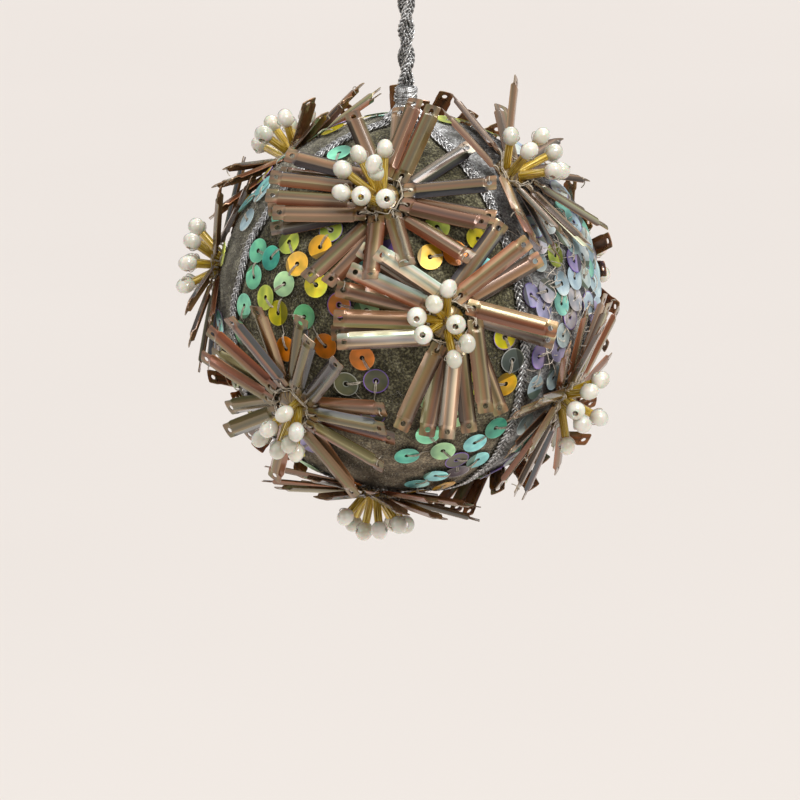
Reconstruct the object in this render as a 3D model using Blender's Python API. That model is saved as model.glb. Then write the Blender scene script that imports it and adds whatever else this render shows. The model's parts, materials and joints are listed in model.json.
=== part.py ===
"""A velvet ball ornament with silver seam braids and flowers of bar sequins and beads.

It hangs from a twisted silver cord. The origin is the inner top of the cord's loop, the ball hangs
below it, and the side that is seen first faces -Y. Metres, +Z up.

A flower stands on the ball at a latitude and a longitude. Longitude is counted from -Y towards +X.
Round a flower's axis, angles are clock angles: 0 points to the top of the ball, 90 points east.
"""
import math
from collections import namedtuple

import bmesh
import bpy
from mathutils import Matrix, Vector
from mathutils.bvhtree import BVHTree

MM = 0.001
GAP = 0.3 * MM

# Ball
BALL_RADIUS = 38 * MM
BALL_CENTRE = Vector((0, 0, -100 * MM))
BALL_SEGMENTS = 36
BALL_RINGS = 16
SEAM_LONGITUDES = (37, 157, 297)
SEAM_DEPTH = 0.6 * MM

# Braid over the seams
BRAID_RADIUS = 1.0 * MM
BRAID_SIDES = 6
BRAID_STEPS = 16
BRAID_TOP_LATITUDE = 81.5
BRAID_BOTTOM_LATITUDE = -87

# Knot on the top: (radius, height over the pole) from the gathered skirt to the thread wrapping
KNOT_PROFILE = (
    (4.4 * MM, GAP),
    (4.6 * MM, 0.9 * MM),
    (3.2 * MM, 2.0 * MM),
    (2.2 * MM, 3.4 * MM),
    (1.9 * MM, 3.9 * MM),
    (2.2 * MM, 4.6 * MM),
    (2.2 * MM, 6.6 * MM),
    (1.8 * MM, 7.2 * MM),
)
KNOT_SIDES = 12

# Hanging cord
CORD_RADIUS = 0.8 * MM
CORD_LEG_OFFSET = CORD_RADIUS + GAP / 2
CORD_TWIST_PITCH = 11 * MM
CORD_TWIST_HEIGHT = 22 * MM
CORD_TWIST_STEPS = 16
CORD_EYE_HALF_WIDTH = 5 * MM
CORD_EYE_STEPS = 22

# Petals: bars from a ring of thread round the stamens
SLOTS = 10
RING_INNER_RADIUS = 4.6 * MM
RING_RADIUS = 5.6 * MM
LAYER_FLOORS = {"under": 0.0, "over": 1.2 * MM}
PETAL_LENGTH = 17.2 * MM
PETAL_WIDTH = 3.0 * MM
PETAL_ROOT_WIDTH = 2.7 * MM
PETAL_CREST_WIDTH = 1.8 * MM
PETAL_HEIGHT = 0.8 * MM
PETAL_GUARD = 0.16 * MM
UNEVEN_SWING = 7

# A petal that meets something tries these changes of lift and of clock angle, nearest first
LIFT_STEPS = (0, 3, -3, 6, -6, 9, -9, 12, 16, 20)
SWING_STEPS = (0, 4, -4, 8, -8, 12, -12)
SWING_COST = 1.5

# Stamens: bugle beads tipped with seed beads, on a button inside the ring of petals
BUTTON_RADIUS = 2.9 * MM
BUTTON_HEIGHT = 1.8 * MM
STAMEN_FOOT_HEIGHT = 1.0 * MM
STAMEN_FOOT_RADIUS = 1.7 * MM
STAMEN_SIDES = 6
BUGLE_RADIUS = 0.85 * MM
BUGLE_LENGTH = 6.3 * MM
BEAD_RADIUS = 2.0 * MM
BEAD_LENGTH = 3.4 * MM
BEAD_TIP_RADIUS = 1.1 * MM

VELVET = ("velvet", (0.090, 0.078, 0.055, 1), 0.9, 0.0)
SILVER = ("silver_braid", (0.55, 0.53, 0.50, 1), 0.35, 0.9)
PETAL = ("bar_sequin", (0.36, 0.25, 0.18, 1), 0.25, 0.3)
GOLD = ("gold_bugle", (0.45, 0.30, 0.05, 1), 0.2, 0.6)

Layer = namedtuple("Layer", "first_root lift tips raised")
Flower = namedtuple("Flower", "name latitude longitude over under stamens")


def uneven_layer(first_root, lift):
    """A layer whose petals point straight out, but for the small unevenness of hand sewing."""
    tips = []
    for slot in range(SLOTS):
        wobble = UNEVEN_SWING * math.sin(2.4 * slot + first_root)
        tips.append(first_root + slot * 360 / SLOTS + wobble)
    return Layer(first_root, lift, tuple(tips), {})


# Stamens are (clock angle, tilt from the flower's axis) in degrees
EVEN_STAMENS = ((0, 3), (10, 30), (72, 27), (130, 33), (190, 28), (250, 31), (308, 27))

# Tips are the clock angles of the petal tips, slot by slot, and None where a slot is empty.
# Raised gives the lift of single petals, by slot, where it differs from the layer's lift.
FLOWERS = (
    Flower("front_top", 48.3, -10.5,
           Layer(2, 4, (10, 20, 81, 105, 156, 176, 254, 265, 276, 291), {1: 3, 4: 22, 5: 16}),
           Layer(20, -3, (1, 44, 96, 122, 203, 214, 250, 262, 284, 336), {1: -12}),
           ((340, 4), (207, 26), (154, 28), (289, 50), (322, 48), (2, 48), (245, 45))),
    Flower("front_middle", 11.2, 12,
           Layer(25, 5, (47, 97, 160, None, 184, 208, 264, 276, 305, 320), {6: 1, 7: 2}),
           Layer(10, -4, (33, 60, 104, 151, 170, 192, None, 268, 290, 313), {}),
           ((340, 3), (353, 43), (318, 32), (286, 46), (258, 36), (150, 16), (184, 36))),
    Flower("front_left", -17.5, -36.5,
           Layer(25, -2, (29, 47, 91, 117, 150, 206, 241, 288, 308, 338), {0: 7, 1: 5, 9: 9}),
           Layer(10, -9, (18, None, 82, 103, 160, None, 232, 250, 284, 350), {0: 0, 2: 3, 9: 1}),
           ((180, 3), (50, 28), (95, 32), (135, 26), (158, 50), (190, 46), (222, 30))),
    Flower("left_top", 42.5, -127,
           Layer(28, 1, (28, None, 84, 101, 148, 196, 236, 280, 316, 352), {0: 2, 9: -2}),
           Layer(10, -7, (8, 26, 90, 112, 154, 190, 226, 262, 298, 340), {0: -5, 2: -2}),
           ((0, 3), (69, 50), (28, 50), (308, 46), (265, 30), (222, 32), (178, 28))),
    Flower("left_middle", 8.5, -102,
           Layer(16, -2, (11, 30, 98, 119, 160, 196, 232, 268, 304, 340), {0: -10, 2: 1}),
           Layer(34, -9, (28, None, 106, 142, 178, 214, 250, 286, 322, 358), {0: -8, 2: -12}),
           ((350, 38), (297, 28), (45, 48), (80, 50), (244, 26), (198, 35), (118, 50))),
    Flower("right_top", 51.9, 60.5,
           Layer(8, 4, (20, 46, 84, 110, 150, 192, 212, 238, 314, None),
                 {0: -8, 1: 22, 2: -2, 3: -6, 4: -2, 5: 9, 6: 14, 7: 13, 8: 22}),
           Layer(26, -6, (34, 50, 96, 128, 164, 208, 228, None, None, None),
                 {0: -14, 1: -1, 2: -8, 3: -12, 4: -9, 5: 2, 6: 6}),
           ((317, 27), (257, 15), (110, 45), (181, 36), (146, 50), (78, 24))),
    Flower("right_bottom", -22, 61,
           Layer(12, 3, (6, 46, 86, 122, 154, 190, 226, 262, 288, 346),
                 {0: -2, 1: -9, 2: -8, 3: -4, 6: 9, 7: 13, 9: 8}),
           Layer(30, -6, (24, 66, 104, 142, 172, 208, 256, 276, 322, 352),
                 {0: -10, 1: -14, 2: -13, 6: 4, 8: 8, 9: -5}),
           ((0, 3), (0, 50), (327, 49), (292, 50), (272, 29), (205, 50))),
    Flower("bottom_front", -70.6, -32, uneven_layer(6, 4), uneven_layer(24, -3),
           ((0, 3), (355, 48), (240, 28), (60, 30), (85, 50), (118, 50), (165, 45))),
    Flower("right_middle", 2, 125, uneven_layer(12, -8), uneven_layer(30, -13), EVEN_STAMENS),
    Flower("bottom_right", -55, 119, uneven_layer(2, 0), uneven_layer(20, -7), EVEN_STAMENS),
    Flower("back_top", 30, 179, uneven_layer(16, 0), uneven_layer(34, -8), EVEN_STAMENS),
    Flower("back_left", -1, -146, uneven_layer(8, -4), uneven_layer(26, -11), EVEN_STAMENS),
    Flower("back_bottom_left", -40, -129, uneven_layer(0, -8), uneven_layer(18, -13), EVEN_STAMENS),
    Flower("back_bottom", -29, 176, uneven_layer(10, 0), uneven_layer(28, -8), EVEN_STAMENS),
)


def clear_scene():
    for thing in list(bpy.data.objects):
        bpy.data.objects.remove(thing)


def material(finish):
    name, colour, roughness, metallic = finish
    found = bpy.data.materials.get(name)
    if found:
        return found
    made = bpy.data.materials.new(name)
    made.use_nodes = True
    shader = made.node_tree.nodes["Principled BSDF"]
    shader.inputs["Base Color"].default_value = colour
    shader.inputs["Roughness"].default_value = roughness
    shader.inputs["Metallic"].default_value = metallic
    return made


def add_object(name, data, finish):
    made = bpy.data.objects.new(name, data)
    data.materials.append(material(finish))
    bpy.context.scene.collection.objects.link(made)
    return made


def add_mesh(name, verts, faces, finish):
    mesh = bpy.data.meshes.new(name)
    mesh.from_pydata(verts, [], faces)
    mesh.update()
    return add_object(name, mesh, finish)


def towards(latitude, longitude):
    lat = math.radians(latitude)
    lon = math.radians(longitude)
    return Vector((math.cos(lat) * math.sin(lon), -math.cos(lat) * math.cos(lon), math.sin(lat)))


def polar(clock, radius, height):
    """A point in a flower's own space: x east, y north and z along its axis."""
    angle = math.radians(clock)
    return Vector((radius * math.sin(angle), radius * math.cos(angle), height))


def flower_frame(flower):
    axis = towards(flower.latitude, flower.longitude)
    lon = math.radians(flower.longitude)
    east = Vector((math.cos(lon), math.sin(lon), 0))
    north = axis.cross(east)
    turn = Matrix((east, north, axis)).transposed().to_4x4()
    return Matrix.Translation(BALL_CENTRE + axis * (BALL_RADIUS + GAP)) @ turn


def rings_to_faces(rings, sides, first_cap=True, last_cap=True):
    """Faces between rings of points that follow each other, with an n-sided cap at each end."""
    faces = []
    for ring in range(rings - 1):
        for side in range(sides):
            after = (side + 1) % sides
            low = ring * sides
            high = low + sides
            faces.append((low + side, low + after, high + after, high + side))
    if first_cap:
        faces.append(tuple(reversed(range(sides))))
    if last_cap:
        last = (rings - 1) * sides
        faces.append(tuple(range(last, last + sides)))
    return faces


def tube(points, radii, sides):
    """Rings of points square to a route, each of its own radius."""
    verts = []
    across = None
    for index, point in enumerate(points):
        ahead = points[min(index + 1, len(points) - 1)]
        behind = points[max(index - 1, 0)]
        along = (ahead - behind).normalized()
        if across is None:
            across = along.orthogonal()
        across = (across - along * across.dot(along)).normalized()
        third = along.cross(across)
        for side in range(sides):
            angle = 2 * math.pi * side / sides
            out = across * math.cos(angle) + third * math.sin(angle)
            verts.append(point + out * radii[index])
    return verts, rings_to_faces(len(points), sides)


def ball():
    """A sphere of three gores, with a ring of points on each seam, drawn in along the seams."""
    verts = [BALL_CENTRE - Vector((0, 0, BALL_RADIUS))]
    step = 360 / BALL_SEGMENTS
    for ring in range(1, BALL_RINGS):
        latitude = -90 + 180 * ring / BALL_RINGS
        for segment in range(BALL_SEGMENTS):
            longitude = SEAM_LONGITUDES[0] + segment * step
            on_seam = any(abs(longitude % 360 - seam) < step / 2 for seam in SEAM_LONGITUDES)
            radius = BALL_RADIUS - (SEAM_DEPTH if on_seam else 0)
            verts.append(BALL_CENTRE + towards(latitude, longitude) * radius)
    verts.append(BALL_CENTRE + Vector((0, 0, BALL_RADIUS)))
    faces = []
    top = len(verts) - 1
    last = top - BALL_SEGMENTS
    for segment in range(BALL_SEGMENTS):
        after = (segment + 1) % BALL_SEGMENTS
        faces.append((0, 1 + after, 1 + segment))
        faces.append((top, last + segment, last + after))
        for ring in range(BALL_RINGS - 2):
            low = 1 + ring * BALL_SEGMENTS
            high = low + BALL_SEGMENTS
            faces.append((low + segment, low + after, high + after, high + segment))
    made = add_mesh("ball", verts, faces, VELVET)
    made.data.shade_smooth()


def braid_route(longitude):
    radius = BALL_RADIUS - SEAM_DEPTH + GAP + BRAID_RADIUS
    span = BRAID_TOP_LATITUDE - BRAID_BOTTOM_LATITUDE
    latitudes = [BRAID_TOP_LATITUDE - span * step / BRAID_STEPS for step in range(BRAID_STEPS + 1)]
    return [BALL_CENTRE + towards(latitude, longitude) * radius for latitude in latitudes]


def seam_braids():
    for number, longitude in enumerate(SEAM_LONGITUDES, 1):
        route = braid_route(longitude)
        verts, faces = tube(route, [BRAID_RADIUS] * len(route), BRAID_SIDES)
        add_mesh(f"seam_braid_{number}", verts, faces, SILVER)


def knot_shape(grow):
    pole = BALL_CENTRE + Vector((0, 0, BALL_RADIUS))
    verts = []
    for radius, height in KNOT_PROFILE:
        for side in range(KNOT_SIDES):
            angle = 2 * math.pi * side / KNOT_SIDES
            out = Vector((math.cos(angle), math.sin(angle), 0)) * (radius + grow)
            verts.append(pole + out + Vector((0, 0, height)))
    return verts, rings_to_faces(len(KNOT_PROFILE), KNOT_SIDES)


def top_knot():
    verts, faces = knot_shape(0)
    add_mesh("top_knot", verts, faces, SILVER)


def cord_route():
    """One leg of the cord up the twist, round the eye of the loop, and down the twist again."""
    foot = BALL_CENTRE.z + BALL_RADIUS + KNOT_PROFILE[-1][1] + GAP
    turns = CORD_TWIST_HEIGHT / CORD_TWIST_PITCH
    leg = []
    for step in range(CORD_TWIST_STEPS + 1):
        part = step / CORD_TWIST_STEPS
        angle = 2 * math.pi * turns * part
        out = Vector((math.cos(angle), math.sin(angle), 0)) * CORD_LEG_OFFSET
        leg.append(out + Vector((0, 0, foot + CORD_TWIST_HEIGHT * part)))
    eye_foot = foot + CORD_TWIST_HEIGHT
    eye_top = CORD_RADIUS
    eye = []
    for step in range(1, CORD_EYE_STEPS):
        turn = math.pi * step / CORD_EYE_STEPS
        narrow = CORD_LEG_OFFSET * math.cos(turn)
        width = narrow + (CORD_EYE_HALF_WIDTH - CORD_LEG_OFFSET) * math.sin(turn) ** 2 * math.cos(turn) * 2
        height = eye_foot + (eye_top - eye_foot) * math.sin(turn)
        eye.append(Vector((width, 0, height)))
    other = [Vector((-point.x, -point.y, point.z)) for point in reversed(leg)]
    return leg + eye + other


def hanging_cord():
    route = cord_route()
    curve = bpy.data.curves.new("hanging_cord", "CURVE")
    curve.dimensions = "3D"
    curve.bevel_depth = CORD_RADIUS
    curve.bevel_resolution = 2
    curve.use_fill_caps = True
    spline = curve.splines.new("POLY")
    spline.points.add(len(route) - 1)
    for point, place in zip(spline.points, route):
        point.co = (*place, 1)
    add_object("hanging_cord", curve, SILVER)


def stamen_rings(clock, tilt, grow):
    """A bugle bead and the seed bead on its end, as rings of growing and shrinking radius."""
    foot = polar(clock, STAMEN_FOOT_RADIUS if tilt > 10 else 0, STAMEN_FOOT_HEIGHT)
    lean = math.radians(tilt)
    along = polar(clock, math.sin(lean), math.cos(lean))
    reach = (0, BUGLE_LENGTH, BUGLE_LENGTH + BEAD_LENGTH / 2, BUGLE_LENGTH + BEAD_LENGTH + grow)
    radii = (BUGLE_RADIUS, BUGLE_RADIUS, BEAD_RADIUS, BEAD_TIP_RADIUS)
    points = [foot + along * distance for distance in reach]
    return tube(points, [radius + grow for radius in radii], STAMEN_SIDES)


def button_shape(grow):
    verts = []
    for radius, height in ((BUTTON_RADIUS, 0), (BUTTON_RADIUS, BUTTON_HEIGHT)):
        for side in range(STAMEN_SIDES):
            verts.append(polar(-side * 360 / STAMEN_SIDES, radius + grow, height))
    return verts, rings_to_faces(2, STAMEN_SIDES)


def stamens(flower):
    """The button and the stamens that are fused to it."""
    frame = flower_frame(flower)
    name = f"flower_{flower.name}_stamens"
    verts, faces = button_shape(0)
    made = add_mesh(name, [frame @ vert for vert in verts], faces, GOLD)
    rods = bpy.data.collections.new(name + "_rods")
    bpy.context.scene.collection.children.link(rods)
    for number, (clock, tilt) in enumerate(flower.stamens):
        verts, faces = stamen_rings(clock, tilt, 0)
        mesh = bpy.data.meshes.new(f"{name}_rod_{number}")
        mesh.from_pydata([frame @ vert for vert in verts], [], faces)
        rod = bpy.data.objects.new(mesh.name, mesh)
        rod.hide_render = True
        rod.display_type = "WIRE"
        rods.objects.link(rod)
    union = made.modifiers.new("fuse", "BOOLEAN")
    union.operation = "UNION"
    union.solver = "EXACT"
    union.operand_type = "COLLECTION"
    union.collection = rods
    union.use_self = True


def root_clock(layer, slot):
    return layer.first_root + slot * 360 / SLOTS


def root_face(layer, floor, slot, grow=0):
    """The four corners of a petal's root on the ring: two below, then two above."""
    half = math.degrees(math.asin((PETAL_ROOT_WIDTH / 2 + grow) / RING_RADIUS))
    clock = root_clock(layer, slot)
    low = floor - grow
    high = floor + PETAL_HEIGHT + grow
    places = ((-half, low), (half, low), (half, high), (-half, high))
    return [polar(clock + swing, RING_RADIUS, height) for swing, height in places]


def tip_face(layer, floor, slot, tip_clock, lift, grow=0):
    """The four corners of a petal's tip, in the order of root_face."""
    rise = math.radians(lift)
    root = polar(root_clock(layer, slot), RING_RADIUS, floor + PETAL_HEIGHT / 2)
    outward = polar(tip_clock, 1, 0)
    flat_length = (PETAL_LENGTH + grow) * math.cos(rise)
    flat_root = Vector((root.x, root.y, 0))
    ahead = flat_root.dot(outward)
    reach = ahead + math.sqrt(ahead * ahead - flat_root.length_squared + flat_length ** 2)
    tip = outward * reach + Vector((0, 0, root.z + (PETAL_LENGTH + grow) * math.sin(rise)))
    along = (tip - root).normalized()
    across = Vector((along.y, -along.x, 0)).normalized()
    above = across.cross(along)
    wide = across * (PETAL_WIDTH / 2 + grow)
    narrow = across * (PETAL_CREST_WIDTH / 2 + grow)
    high = above * (PETAL_HEIGHT / 2 + grow)
    return [tip - wide - high, tip + wide - high, tip + narrow + high, tip - narrow + high]


def petal_corners(flower, kind, slot, tip_clock, lift, grow=0):
    layer = getattr(flower, kind)
    floor = LAYER_FLOORS[kind]
    return (root_face(layer, floor, slot, grow)
            + tip_face(layer, floor, slot, tip_clock, lift, grow))


BAR_FACES = ((3, 2, 1, 0), (4, 5, 6, 7), (0, 1, 5, 4), (1, 2, 6, 5), (2, 3, 7, 6), (3, 0, 4, 7))


def clears_ball(corners):
    """True where both lower edges of a petal stay off the velvet."""
    for root, tip in ((corners[0], corners[4]), (corners[1], corners[5])):
        for step in range(9):
            point = root.lerp(tip, step / 8)
            if (point - BALL_CENTRE).length < BALL_RADIUS + GAP:
                return False
    return True


Taken = namedtuple("Taken", "owner tree centre reach")


def taken(owner, verts, faces):
    centre = sum(verts, Vector()) / len(verts)
    reach = max((vert - centre).length for vert in verts)
    return Taken(owner, BVHTree.FromPolygons(verts, faces), centre, reach)


def ring_shape(grow):
    verts = []
    for height in (-grow, LAYER_FLOORS["over"] + PETAL_HEIGHT + grow):
        for side in range(2 * SLOTS):
            verts.append(polar(-side * 180 / SLOTS, RING_RADIUS + grow, height))
    return verts, rings_to_faces(2, 2 * SLOTS)


def fixed_pieces():
    """What the petals have to stay clear of: knot, braids, and each flower's ring and stamens."""
    found = [taken("", *knot_shape(GAP))]
    for longitude in SEAM_LONGITUDES:
        route = braid_route(longitude)
        verts, faces = tube(route, [BRAID_RADIUS + GAP] * len(route), BRAID_SIDES)
        found.append(taken("", verts, faces))
    for flower in FLOWERS:
        frame = flower_frame(flower)
        verts, faces = ring_shape(GAP)
        found.append(taken(flower.name + "_ring", [frame @ vert for vert in verts], faces))
        for clock, tilt in flower.stamens:
            verts, faces = stamen_rings(clock, tilt, GAP)
            found.append(taken(flower.name + "_stamen", [frame @ vert for vert in verts], faces))
    return found


def is_free(piece, pieces, own_ring):
    for other in pieces:
        if other.owner == own_ring:
            continue
        if (other.centre - piece.centre).length > other.reach + piece.reach:
            continue
        if piece.tree.overlap(other.tree):
            return False
    return True


def trials():
    pairs = [(lift, swing) for lift in LIFT_STEPS for swing in SWING_STEPS]
    return sorted(pairs, key=lambda pair: abs(pair[0]) + SWING_COST * abs(pair[1]))


def place_petals():
    """For each flower, the (layer kind, slot, tip clock, lift) of the petals that find room."""
    pieces = fixed_pieces()
    order = trials()
    placed = {}
    for flower in FLOWERS:
        frame = flower_frame(flower)
        placed[flower.name] = []
        for kind in ("over", "under"):
            layer = getattr(flower, kind)
            for slot, clock in enumerate(layer.tips):
                if clock is None:
                    continue
                wanted = layer.raised.get(slot, layer.lift)
                for lift, swing in order:
                    row = (kind, slot, clock + swing, wanted + lift)
                    corners = [frame @ corner for corner in petal_corners(flower, *row, PETAL_GUARD)]
                    if not clears_ball(corners):
                        continue
                    piece = taken(flower.name, corners, BAR_FACES)
                    if is_free(piece, pieces, flower.name + "_ring"):
                        pieces.append(piece)
                        placed[flower.name].append(row)
                        break
    return placed


def ring_points(flower):
    """The ring's outer points, level by level, then its inner points below and above."""
    points = []
    for kind in ("under", "over"):
        layer = getattr(flower, kind)
        faces = [root_face(layer, LAYER_FLOORS[kind], slot) for slot in range(SLOTS)]
        for low, high in ((0, 1), (3, 2)):
            for face in faces:
                points.extend((face[low], face[high]))
    top = LAYER_FLOORS["over"] + PETAL_HEIGHT
    for kind, height in (("under", 0), ("over", top)):
        layer = getattr(flower, kind)
        half = math.degrees(math.asin(PETAL_ROOT_WIDTH / 2 / RING_RADIUS))
        for slot in range(SLOTS):
            clock = root_clock(layer, slot)
            points.append(polar(clock - half, RING_INNER_RADIUS, height))
            points.append(polar(clock + half, RING_INNER_RADIUS, height))
    return points


def petals(flower, rows):
    """The ring, and a bar out of each of its root faces that has a petal."""
    verts = ring_points(flower)
    round_count = 2 * SLOTS
    with_petal = {(kind, slot): (clock, lift) for kind, slot, clock, lift in rows}
    faces = []
    for level in range(3):
        kind = ("under", None, "over")[level]
        for side in range(round_count):
            after = (side + 1) % round_count
            low = level * round_count
            high = low + round_count
            root = (low + side, low + after, high + after, high + side)
            if side % 2 == 0 and (kind, side // 2) in with_petal:
                clock, lift = with_petal[kind, side // 2]
                layer = getattr(flower, kind)
                first = len(verts)
                verts.extend(tip_face(layer, LAYER_FLOORS[kind], side // 2, clock, lift))
                for edge in range(4):
                    onward = (edge + 1) % 4
                    faces.append((root[edge], root[onward], first + onward, first + edge))
                faces.append(tuple(range(first, first + 4)))
            else:
                faces.append(root)
    inner_low = 4 * round_count
    inner_high = inner_low + round_count
    for side in range(round_count):
        after = (side + 1) % round_count
        top = 3 * round_count
        faces.append((after, side, inner_low + side, inner_low + after))
        faces.append((top + side, top + after, inner_high + after, inner_high + side))
        faces.append((inner_low + after, inner_low + side, inner_high + side, inner_high + after))
    frame = flower_frame(flower)
    made = add_mesh(f"flower_{flower.name}_petals", [frame @ vert for vert in verts], faces, PETAL)
    bm = bmesh.new()
    bm.from_mesh(made.data)
    bmesh.ops.recalc_face_normals(bm, faces=bm.faces)
    bm.to_mesh(made.data)
    bm.free()


def main():
    clear_scene()
    ball()
    seam_braids()
    top_knot()
    hanging_cord()
    placed = place_petals()
    for flower in FLOWERS:
        petals(flower, placed[flower.name])
        stamens(flower)


main()
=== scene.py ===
"""The looks of the beaded velvet ball ornament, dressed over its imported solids.

The ball hangs from the origin and its first side faces -Y. Metres, +Z up. A flower's own space has
x east, y north and z along its axis, and clock angles in it count from north to east.
"""
import json
import math
from collections import namedtuple

import bpy
import numpy as np
from mathutils import Matrix, Vector
from mathutils.bvhtree import BVHTree
from mathutils.kdtree import KDTree

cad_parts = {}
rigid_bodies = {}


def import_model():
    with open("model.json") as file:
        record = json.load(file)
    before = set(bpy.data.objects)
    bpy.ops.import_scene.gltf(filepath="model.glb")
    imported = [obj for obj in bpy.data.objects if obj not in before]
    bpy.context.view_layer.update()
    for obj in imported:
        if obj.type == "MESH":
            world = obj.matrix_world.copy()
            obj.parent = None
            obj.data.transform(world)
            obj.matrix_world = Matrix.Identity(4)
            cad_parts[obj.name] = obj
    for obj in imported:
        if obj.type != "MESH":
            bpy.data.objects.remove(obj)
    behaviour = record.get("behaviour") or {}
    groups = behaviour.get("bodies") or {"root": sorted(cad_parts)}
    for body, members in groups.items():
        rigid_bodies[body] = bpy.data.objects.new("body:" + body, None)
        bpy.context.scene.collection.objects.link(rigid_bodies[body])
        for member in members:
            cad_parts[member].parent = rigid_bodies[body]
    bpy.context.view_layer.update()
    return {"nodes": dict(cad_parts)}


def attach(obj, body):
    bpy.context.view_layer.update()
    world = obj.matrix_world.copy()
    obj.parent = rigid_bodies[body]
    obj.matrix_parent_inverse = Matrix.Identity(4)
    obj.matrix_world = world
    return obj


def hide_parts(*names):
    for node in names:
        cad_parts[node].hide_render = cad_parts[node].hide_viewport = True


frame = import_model()

MM = 0.001

# Sizes repeated from the part's source
BALL_RADIUS = 38 * MM
BALL_CENTRE = Vector((0, 0, -100 * MM))
BALL_POLE = np.array(BALL_CENTRE) + (0, 0, BALL_RADIUS)
SEAM_LONGITUDES = (37, 157, 297)
SEAM_DEPTH = 0.6 * MM
BRAID_RADIUS = 1.0 * MM
BRAID_TOP_LATITUDE = 81.5
BRAID_BOTTOM_LATITUDE = -87
GAP = 0.3 * MM
KNOT_HEIGHT = 7.2 * MM
CORD_RADIUS = 0.8 * MM
CORD_LEG_OFFSET = CORD_RADIUS + GAP / 2
CORD_TWIST_PITCH = 11 * MM
CORD_TWIST_HEIGHT = 22 * MM
CORD_TWIST_STEPS = 16
CORD_EYE_HALF_WIDTH = 5 * MM
CORD_EYE_STEPS = 22
RING_RADIUS = 5.6 * MM
STAMEN_FOOT_HEIGHT = 1.0 * MM
STAMEN_FOOT_RADIUS = 1.7 * MM
BUGLE_RADIUS = 0.85 * MM
BUGLE_LENGTH = 6.3 * MM
BEAD_RADIUS = 2.0 * MM
BEAD_LENGTH = 3.4 * MM
PETAL_LENGTH = 17.2 * MM

# Camera: the photograph is taken to be 800 by 800 pixels
PHOTO_SIZE = 800
FOCAL_PIXELS = 3440
SENSOR_MM = 36
CAMERA_DISTANCE = 700 * MM
CAMERA_ELEVATION = 17
BALL_CENTRE_PIXEL = (406, 303)

# Petals: thin arched bars, flat and holed at both ends
PETAL_HALF_WIDTH = 1.72 * MM
PETAL_SHEET = 0.18 * MM
PETAL_ARCH = 0.95 * MM
PETAL_EDGE_DROP = 0.55 * MM
PETAL_END_ARCH = 0.10 * MM
PETAL_END_DROP = 0.10 * MM
PETAL_FLAT_END = 2.0 * MM
PETAL_RAMP = 0.6 * MM
PETAL_END_SHARE = 0.93
PETAL_CORNER = 0.35 * MM
PETAL_INNER_END = -1.0 * MM
BAR_LENGTH = PETAL_LENGTH - PETAL_INNER_END
PETAL_HOLE_RADIUS = 0.55 * MM
PETAL_HOLE_INSET = 1.35 * MM
PETAL_STATIONS = (0, 0.08, 0.35, 0.75, 1.35, 2.0, 2.2, 2.4, 2.6, 5.5, 9.1)

# A bar's cross-section: a broad top facet, a crease, and a steep facet on each side.
# Shares of the half width, and the shares of the arch's height there
PETAL_WAYS = (0.17, 0.50, 0.56, 0.93, 1.0)
PETAL_CROWN = (1.0, 0.86, 0.78, 0.12, 0.0)

# Round sequins
SEQUIN_RADIUS = 2.5 * MM
SEQUIN_HOLE = 0.5 * MM
SEQUIN_SHEET = 0.08 * MM
SEQUIN_CUP = 0.06 * MM
SEQUIN_HEIGHT = 0.75 * MM
SEQUIN_SIDES = 24
THREAD_RADIUS = 0.13 * MM
FINE_THREAD_RADIUS = THREAD_RADIUS * 0.7
STITCH_RADIUS = THREAD_RADIUS * 0.8
STITCH_STEP = 0.35 * MM

# Velvet
PILE_COUNT = 120000
PILE_LENGTH = 0.65 * MM
PILE_WIDTH = 0.12 * MM
PILE_ROOT_DEPTH = 0.05 * MM
PILE_TINT = (1.05, 0.97, 0.76)
# Tint of the painted silver sheen on the gores
PILE_SHEEN_TINT = (-0.05, 0.02, 0.26)

Flower = namedtuple("Flower", "name latitude longitude stamens")

# Numbers of the stamens whose bead turns its hole to the front
HOLES_IN_FRONT = {
    "front_top": (1, 2),
    "front_middle": (0, 3, 4),
    "right_bottom": (3,),
    "bottom_front": (5,),
}

EVEN_STAMENS = ((0, 3), (10, 30), (72, 27), (130, 33), (190, 28), (250, 31), (308, 27))

# Stamens are (clock angle, tilt from the flower's axis) in degrees
FLOWERS = (
    Flower("front_top", 48.3, -10.5,
           ((340, 4), (207, 26), (154, 28), (289, 50), (322, 48), (2, 48), (245, 45))),
    Flower("front_middle", 11.2, 12,
           ((340, 3), (353, 43), (318, 32), (286, 46), (258, 36), (150, 16), (184, 36))),
    Flower("front_left", -17.5, -36.5,
           ((180, 3), (50, 28), (95, 32), (135, 26), (158, 50), (190, 46), (222, 30))),
    Flower("left_top", 42.5, -127,
           ((0, 3), (69, 50), (28, 50), (308, 46), (265, 30), (222, 32), (178, 28))),
    Flower("left_middle", 8.5, -102,
           ((350, 38), (297, 28), (45, 48), (80, 50), (244, 26), (198, 35), (118, 50))),
    Flower("right_top", 51.9, 60.5,
           ((317, 27), (257, 15), (110, 45), (181, 36), (146, 50), (78, 24))),
    Flower("right_bottom", -22, 61,
           ((0, 3), (0, 50), (327, 49), (292, 50), (272, 29), (205, 50))),
    Flower("bottom_front", -70.6, -32,
           ((0, 3), (355, 48), (240, 28), (60, 30), (85, 50), (118, 50), (165, 45))),
    Flower("right_middle", 2, 125, EVEN_STAMENS),
    Flower("bottom_right", -55, 119, EVEN_STAMENS),
    Flower("back_top", 30, 179, EVEN_STAMENS),
    Flower("back_left", -1, -146, EVEN_STAMENS),
    Flower("back_bottom_left", -40, -129, EVEN_STAMENS),
    Flower("back_bottom", -29, 176, EVEN_STAMENS),
)
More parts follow.
